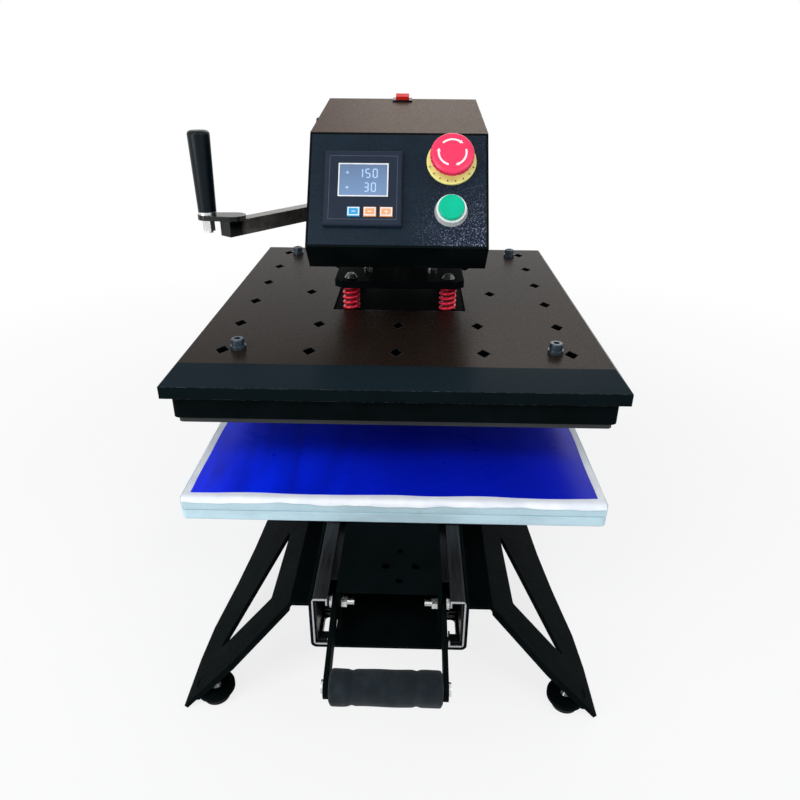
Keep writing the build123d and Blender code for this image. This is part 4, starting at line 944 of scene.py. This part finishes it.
def wound_spring(radius, wire, low, high, turns, sides, flat=1.0):
    """An open coil about the Z axis with both ends ground flat."""
    bpy.ops.mesh.primitive_circle_add(
        vertices=sides, radius=wire, location=(radius, 0, 0), rotation=(math.pi / 2, 0, 0)
    )
    spring = bpy.context.object
    spring.scale = (flat, 1, 1)
    apply_place(spring)
    pitch = (high - low - wire) / turns
    add_modifier(
        spring, "SCREW", axis="Z", angle=2 * math.pi, screw_offset=pitch, iterations=turns,
        steps=36, render_steps=36,
    )
    spring.location = (0, 0, low + wire / 2)
    apply_place(spring)
    outward(spring)
    for height, upward in ((low, False), (high, True)):
        pick_all(spring)
        bpy.ops.mesh.bisect(
            plane_co=(0, 0, height), plane_no=(0, 0, 1), use_fill=True,
            clear_outer=upward, clear_inner=not upward,
        )
        bpy.ops.object.mode_set(mode="OBJECT")
    pick_open_edges(spring)
    bpy.ops.mesh.fill_holes(sides=0)
    bpy.ops.object.mode_set(mode="OBJECT")
    outward(spring)
    return spring


def copy_to(obj, offset):
    """A copy with its own mesh, moved by an offset."""
    twin = obj.copy()
    twin.data = obj.data.copy()
    bpy.context.collection.objects.link(twin)
    twin.location = offset
    apply_place(twin)
    return twin


class WindSprings(bpy.types.Operator):
    """Wind the four red platen springs and the cylinder's return spring"""

    bl_idname = "press.wind_springs"
    bl_label = "Springs"

    def execute(self, context):
        low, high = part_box("platen_springs")
        bolt_low, bolt_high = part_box("float_bolts")
        turns = 5
        bolt_head_r = 7.5 * MM
        places = [
            (x, y)
            for y in (bolt_low.y + bolt_head_r, bolt_high.y - bolt_head_r)
            for x in (bolt_low.x + bolt_head_r, bolt_high.x - bolt_head_r)
        ]
        bolt_pitch = bolt_high.x - bolt_low.x - 2 * bolt_head_r
        outer = (high.x - low.x - bolt_pitch) / 2
        wire, flattened = 1.9 * MM, 1.12
        coil_inset = 2.1 * MM
        first = wound_spring(outer - coil_inset, wire, low.z, high.z, turns, 12, flattened)
        springs = [copy_to(first, (x, y, 0)) for x, y in places]
        bpy.data.objects.remove(first)
        red = finish(join(springs), "red_springs", None, MADE["red_spring"], 50)
        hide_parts("platen_springs")
        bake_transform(red)
        low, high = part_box("return_spring")
        middle = (low + high) / 2
        wire = 1.3 * MM
        radius = (high.x - low.x) / 2 - wire
        spring = wound_spring(radius, wire, low.z, high.z, turns, 10)
        spring.location = (middle.x, middle.y, 0)
        finish(spring, "cylinder_spring", None, MADE["steel"], 50)
        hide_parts("return_spring")
        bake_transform(spring)
        return {"FINISHED"}


class PackWool(bpy.types.Operator):
    """Lay the matted insulation under the cover"""

    bl_idname = "press.pack_wool"
    bl_label = "Insulation"

    def execute(self, context):
        low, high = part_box("heat_wool")
        size = high - low
        middle = (low + high) / 2
        wool = level_grid(size.x, size.y, 98, 120, (middle.x, middle.y, low.z))
        boss = 62.0 * MM
        stud = 9.5 * MM
        stud_x, stud_y = 158 * MM, 188 * MM
        corners = [(sx * stud_x, sy * stud_y) for sx in (-1, 1) for sy in (-1, 1)]
        headroom, fluff = 1.5 * MM, 0.7 * MM

        def in_hole(centre, normal):
            x = centre.x - middle.x
            y = centre.y - middle.y
            near = any(abs(x - cx) < stud and abs(y - cy) < stud for cx, cy in corners)
            return near or (abs(x) < boss and abs(y) < boss)

        pick_faces(wool, in_hole)
        bpy.ops.mesh.delete(type="FACE")
        bpy.ops.object.mode_set(mode="OBJECT")
        add_modifier(wool, "SOLIDIFY", thickness=size.z - headroom, offset=1.0)
        for vertex in wool.data.vertices:
            if vertex.co.z > middle.z:
                vertex.co.z += fluff * (1 + wobble(vertex.co, 0.011, 31.0))
        finish(wool, "insulation_mat", "upper_platen", MADE["wool"], 60)
        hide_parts("heat_wool")
        return {"FINISHED"}


# Bars of each digit, lettered a to g as on every seven-segment display
SEGMENTS = {
    "0": "abcdef", "1": "bc", "2": "abged", "3": "abgcd", "4": "fgbc",
    "5": "afgcd", "6": "afgecd", "7": "abc", "8": "abcdefg", "9": "abcdfg",
}


def segment_digit(character, height):
    """Bars of one seven-segment digit, as (x, y, width, height), its corner at the origin."""
    wide = height * 0.5
    bar = height * 0.11
    half = height / 2
    bars = {
        "a": (bar, height - bar, wide - 2 * bar, bar),
        "b": (wide - bar, half + bar * 0.2, bar, half - bar * 0.9),
        "c": (wide - bar, bar * 0.7, bar, half - bar * 0.9),
        "d": (bar, 0, wide - 2 * bar, bar),
        "e": (0, bar * 0.7, bar, half - bar * 0.9),
        "f": (0, half + bar * 0.2, bar, half - bar * 0.9),
        "g": (bar, half - bar / 2, wide - 2 * bar, bar),
    }
    return [bars[name] for name in SEGMENTS[character]]


def flat_bar(x, s, right, up, low, high):
    """A bar on the panel from a corner at x and s, this wide and long, between two heights off it."""
    return brick((x, s, low), (x + right, s + up, high))


def outline_bars(x, s, half_w, half_h, wide, low, high):
    """Four bars that frame a rectangle about x and s, between two heights off the panel."""
    inner_h = 2 * (half_h - wide)
    return [
        flat_bar(x - half_w, s + half_h - wide, 2 * half_w, wide, low, high),
        flat_bar(x - half_w, s - half_h, 2 * half_w, wide, low, high),
        flat_bar(x - half_w, s - half_h + wide, wide, inner_h, low, high),
        flat_bar(x + half_w - wide, s - half_h + wide, wide, inner_h, low, high),
    ]


def printed_number(text, x, s, height, low, high):
    """Bars of a number in seven segments, its lower left corner at x and s."""
    step = height * 0.72
    bars = []
    for place, character in enumerate(text):
        for right, up, wide, tall in segment_digit(character, height):
            bars.append(flat_bar(x + place * step + right, s + up, wide, tall, low, high))
    return bars


def cross_bars(x, s, half, thick, low, high, upright):
    """A minus sign about x and s, or a plus sign if it has its upright bar."""
    bars = [flat_bar(x - half, s - thick / 2, 2 * half, thick, low, high)]
    if upright:
        bars.append(flat_bar(x - thick / 2, s - half, thick, 2 * half, low, high))
    return bars


class LightDisplay(bpy.types.Operator):
    """Light plain numbers on the display, frame it, and print the keys' plain signs"""

    bl_idname = "press.light_display"
    bl_label = "Display and keys"

    def execute(self, context):
        self.light_figures()
        self.frame_display()
        self.print_keys()
        return {"FINISHED"}

    def light_figures(self):
        """Two rows, each a plain number with a small cross before it."""
        height = sizes().digit_height / MM
        x, s, face = panel_spot("controller_display")
        low, high = face - 0.1, face + 0.05
        figures = []
        for number, right, up, cross_up in (("150", -5.0, 2.0, 7.4), ("30", 0.5, -12.0, -7.6)):
            figures += printed_number(number, x + right, s + up, height, low, high)
            figures += cross_bars(x - 15.0, s + cross_up, 1.5, 0.8, low, high, True)
        on_panel(figures, "display_figures", "head", MADE["digits"])

    def frame_display(self):
        """A white rim round the display, and a thin lighter line round the controller's face, a painted highlight
        along its frame step.
        """
        x, s, face = panel_spot("controller_display")
        low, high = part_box("controller_display")
        rise = panel_axes()[2].z
        half_w = (high.x - low.x) / 2 / MM + 0.9
        half_h = (high.z - low.z) / rise / 2 / MM + 0.2
        rim_w, rim_h = 1.1, 0.45
        rim = outline_bars(x, s, half_w, half_h, rim_w, face, face + rim_h)
        on_panel(rim, "display_rim", "head", MADE["print"])
        # Painted highlight: a thin lighter line along the bezel's frame step.
        x, s, top = panel_spot("controller_body")
        half, line_w = 32.0, 0.5
        line = outline_bars(x, s, half, half, line_w, top - 0.1, top + 0.12)
        on_panel(line, "bezel_step_highlight", "head", MADE["bezel_step_highlight"])

    def print_keys(self):
        """A white frame on each key, with a plus on the last one and a minus on the others."""
        for number in (1, 2, 3):
            x, s, top = panel_spot("controller_key_%d" % number)
            low, high = top - 0.05, top + 0.06
            bars = outline_bars(x, s, 5.4, 4.1, 1.0, low, high)
            bars += cross_bars(x, s, 1.8, 0.7, low, high, number == 3)
            on_panel(bars, "key_%d_print" % number, "key_%d" % number, MADE["print"])


def on_panel(pieces, name, body, material, x=0.0, s=0.0, n=0.0):
    """Join pieces drawn flat in millimetres, and set them on the sloping panel."""
    whole = join(pieces)
    whole.data.transform(Matrix.Scale(MM, 4))
    whole.data.transform(panel_matrix(x, s, n))
    return finish(whole, name, body, material)


def curved_arrow(radius, wide, start, sweep, thick):
    """A flat curved arrow about the origin in the X-Y plane, standing this thick."""
    bpy.ops.mesh.primitive_plane_add(size=1, location=(radius, 0, 0))
    arrow = bpy.context.object
    arrow.scale = (wide, 0.0001, 1)
    apply_place(arrow)
    alone(arrow)
    bpy.ops.object.mode_set(mode="EDIT")
    bpy.ops.mesh.select_all(action="SELECT")
    bpy.ops.mesh.remove_doubles(threshold=0.0002)
    bpy.ops.mesh.spin(steps=18, angle=math.radians(sweep), center=(0, 0, 0), axis=(0, 0, 1))
    bpy.ops.object.mode_set(mode="OBJECT")
    bpy.ops.mesh.primitive_circle_add(
        vertices=3, radius=wide * 1.2, fill_type="NGON", location=(0, radius, 0),
        rotation=(0, 0, -math.pi / 2),
    )
    tip = bpy.context.object
    apply_place(tip)
    ahead = 4
    tip.data.transform(Matrix.Rotation(math.radians(-sweep - 90 - ahead), 4, "Z"))
    arrow = join([arrow, tip])
    add_modifier(arrow, "SOLIDIFY", thickness=thick, offset=0.0)
    arrow.data.transform(Matrix.Rotation(math.radians(start), 4, "Z"))
    outward(arrow)
    return arrow


class MarkSwitches(bpy.types.Operator):
    """Put the turning arrows on the stop switch and the ticks on its ring"""

    bl_idname = "press.mark_switches"
    bl_label = "Switch marks"

    def execute(self, context):
        x, s, top = panel_spot("estop_head")
        ring_r, line, sweep, thick = 12.8, 1.8, 78, 0.3
        arrows = [curved_arrow(ring_r, line, start, sweep, thick) for start in (134, 254, 14)]
        on_panel(arrows, "stop_arrows", "estop_mushroom", MADE["print"], x, s, top)
        x, s, top = panel_spot("estop_base")
        inner, outer, half = 20.8, 22.6, 0.45
        ticks = []
        for angle in range(200, 341, 20):
            tick = brick((inner, -half, -0.1), (outer, half, 0.06))
            tick.data.transform(Matrix.Rotation(math.radians(angle), 4, "Z"))
            ticks.append(tick)
        on_panel(ticks, "ring_ticks", "head", MADE["ink"], x, s, top)
        return {"FINISHED"}


class FaceGauge(bpy.types.Operator):
    """Give the pressure gauge its white face, its ticks and its needle"""

    bl_idname = "press.face_gauge"
    bl_label = "Gauge face"

    def execute(self, context):
        body = frame["nodes"]["regulator_body"].data.vertices
        end = max(v.co.x for v in body)
        rim = [v.co for v in body if v.co.x > end - 0.1 * MM]
        low = min(place.z for place in rim)
        radius = (max(place.z for place in rim) - low) / 2
        middle_y = (min(place.y for place in rim) + max(place.y for place in rim)) / 2
        middle = Matrix.Translation((end, middle_y, low + radius))
        ticks, first, step = 11, 135, 27
        reading = 40
        bpy.ops.mesh.primitive_cylinder_add(
            vertices=48, radius=radius * 0.84, depth=0.4 * MM, rotation=(0, math.pi / 2, 0)
        )
        face = context.object
        apply_place(face)
        face.data.transform(middle)
        finish(face, "gauge_face", "head", MADE["print"])
        marks = []
        for tick in range(ticks):
            inner = radius * (0.6 if tick % 5 == 0 else 0.68)
            mark = brick((0.1 * MM, -0.3 * MM, inner), (0.26 * MM, 0.3 * MM, radius * 0.76))
            mark.data.transform(Matrix.Rotation(math.radians(first - step * tick), 4, "X"))
            marks.append(mark)
        needle = brick((0.3 * MM, -0.35 * MM, -radius * 0.2), (0.5 * MM, 0.35 * MM, radius * 0.62))
        needle.data.transform(Matrix.Rotation(math.radians(reading), 4, "X"))
        marks = join(marks + [needle])
        marks.data.transform(middle)
        finish(marks, "gauge_marks", "head", MADE["ink"])
        return {"FINISHED"}


# Lamps as their name, place, size, watts and tint
LAMPS = (
    ("key lamp", (-1.6, -2.2, 2.6), 1.8, 44, (0.98, 0.99, 1.0)),
    ("fill lamp", (2.4, -1.6, 1.5), 2.2, 18, (0.97, 0.98, 1.0)),
    ("rear lamp", (0.4, 2.4, 2.2), 1.6, 22, (1.0, 0.93, 0.85)),
    ("low lamp", (-1.5, -1.3, 0.45), 0.7, 14, (1.0, 1.0, 1.0)),
    ("side lamp", (0.95, -1.75, 2.0), 0.5, 9, (0.95, 0.97, 1.0)),
)
LAMP_TARGET = Vector((0, 0, 0.25))

# The camera of the photo, its place in metres and its aim in degrees
CAMERA_PLACE = (0.0159, -0.78155, 0.5474)
CAMERA_TILT, CAMERA_TURN, CAMERA_ROLL = 63.44, 1.10, 0.45
CAMERA_LENS = 30.0


class SetStage(bpy.types.Operator):
    """Set the floor, the lamps and the camera"""

    bl_idname = "press.set_stage"
    bl_label = "Stage"

    def execute(self, context):
        scene = context.scene
        if sizes().show_floor:
            bpy.ops.mesh.primitive_plane_add(size=40, location=(0, 0, 0))
            floor = context.object
            floor.name = "floor"
            floor.data.materials.append(floor_finish())
        world = bpy.data.worlds.new("studio")
        scene.world = world
        world.use_nodes = True
        light_world(world)
        for name, place, size, energy, tint in LAMPS:
            bpy.ops.object.light_add(type="AREA", location=place)
            lamp = context.object
            lamp.name = name
            lamp.data.shape = "SQUARE"
            lamp.data.size = size
            lamp.data.energy = energy
            lamp.data.color = tint
            aim = (LAMP_TARGET - Vector(place)).to_track_quat("-Z", "Y")
            lamp.rotation_euler = aim.to_euler()
        bpy.ops.object.camera_add(
            location=CAMERA_PLACE, rotation=aim_of(CAMERA_TILT, CAMERA_TURN, CAMERA_ROLL)
        )
        camera = context.object
        camera.name = "photo camera"
        camera.data.sensor_width = 36.0
        camera.data.lens = CAMERA_LENS
        camera.data.clip_start = 0.01
        scene.camera = camera
        scene.view_settings.view_transform = "Standard"
        return {"FINISHED"}


def aim_of(tilt, turn, roll):
    """Camera rotation from its tilt, its turn about the vertical and its roll, in degrees."""
    upright = Matrix.Rotation(math.radians(turn), 3, "Z") @ Matrix.Rotation(math.radians(tilt), 3, "X")
    return (upright @ Matrix.Rotation(math.radians(roll), 3, "Z")).to_euler()


def seen_directly(tree):
    """One for camera, glossy and transmission rays, and nought for the rest."""
    rays = tree.nodes.new("ShaderNodeLightPath")
    first = tree.nodes.new("ShaderNodeMath")
    second = tree.nodes.new("ShaderNodeMath")
    for node in (first, second):
        node.operation = "MAXIMUM"
    tree.links.new(rays.outputs["Is Camera Ray"], first.inputs[0])
    tree.links.new(rays.outputs["Is Glossy Ray"], first.inputs[1])
    tree.links.new(first.outputs[0], second.inputs[0])
    tree.links.new(rays.outputs["Is Transmission Ray"], second.inputs[1])
    return second.outputs[0]


def floor_finish():
    """White floor that keeps the press's soft shadow and fades to plain white away from it."""
    floor = Finish("floor", (0.8, 0.8, 0.8), 0.9, specular=0.0)
    grain = floor.noise(0.4, 2.0)
    floor.colour(floor.ramp(grain, 0.3, 0.7, (0.79, 0.79, 0.79), (0.81, 0.81, 0.81)))
    distance = floor.add("ShaderNodeVectorMath", operation="LENGTH")
    floor.link(floor.place, distance, 0)
    share = floor.span(distance.outputs["Value"], 0.55, 1.3, 0.8, 1.0)
    share = floor.math("MULTIPLY", share, seen_directly(floor.tree))
    shine = floor.add("ShaderNodeEmission")
    shine.inputs["Strength"].default_value = 1.0
    both = floor.add("ShaderNodeMixShader")
    floor.link(share, both, "Fac")
    floor.link(floor.shader.outputs["BSDF"], both, 1)
    floor.link(shine.outputs["Emission"], both, 2)
    output = floor.tree.nodes["Material Output"]
    floor.link(both.outputs["Shader"], output, "Surface")
    return floor.material


def light_world(world):
    """Plain light on the object, and white where the camera or a reflection sees past it."""
    tree = world.node_tree
    background = tree.nodes["Background"]
    background.inputs["Color"].default_value = (0.92, 0.95, 1.0, 1.0)
    background.inputs["Strength"].default_value = 0.45
    white = tree.nodes.new("ShaderNodeBackground")
    white.inputs["Color"].default_value = (1.0, 1.0, 1.0, 1.0)
    white.inputs["Strength"].default_value = 1.0
    mix = tree.nodes.new("ShaderNodeMixShader")
    tree.links.new(seen_directly(tree), mix.inputs["Fac"])
    tree.links.new(background.outputs[0], mix.inputs[1])
    tree.links.new(white.outputs[0], mix.inputs[2])
    tree.links.new(mix.outputs[0], tree.nodes["World Output"].inputs["Surface"])


OPERATORS = (
    FinishFrame, LayPad, LayCloth, LayFilm, SleeveGrip, WindSprings, PackWool, LightDisplay,
    MarkSwitches, FaceGauge, SetStage,
)


class PressPanel(bpy.types.Panel):
    """Sizes, colours and steps of the press"""

    bl_idname = "PRESS_PT_panel"
    bl_label = "Heat Press"
    bl_space_type = "VIEW_3D"
    bl_region_type = "UI"
    bl_category = "Heat Press"

    def draw(self, context):
        layout = self.layout
        for group in (context.scene.press_sizes, context.scene.press_colours):
            box = layout.box()
            for key in group.__annotations__:
                box.prop(group, key)
        for operator in OPERATORS:
            layout.operator(operator.bl_idname)


CLASSES = (PressSizes, PressColours) + OPERATORS + (PressPanel,)


def register():
    """Add the classes and the user's settings to Blender."""
    for made_class in CLASSES:
        bpy.utils.register_class(made_class)
    bpy.types.Scene.press_sizes = bpy.props.PointerProperty(type=PressSizes)
    bpy.types.Scene.press_colours = bpy.props.PointerProperty(type=PressColours)


def unregister():
    """Take the settings and the classes out again."""
    del bpy.types.Scene.press_sizes
    del bpy.types.Scene.press_colours
    for made_class in reversed(CLASSES):
        bpy.utils.unregister_class(made_class)


def main():
    """Register the add-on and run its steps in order."""
    register()
    bpy.ops.press.finish_frame()
    bpy.ops.press.lay_pad()
    bpy.ops.press.lay_cloth()
    bpy.ops.press.lay_film()
    bpy.ops.press.sleeve_grip()
    bpy.ops.press.wind_springs()
    bpy.ops.press.pack_wool()
    bpy.ops.press.light_display()
    bpy.ops.press.mark_switches()
    bpy.ops.press.face_gauge()
    bpy.ops.press.set_stage()


if __name__ == "__main__":
    main()
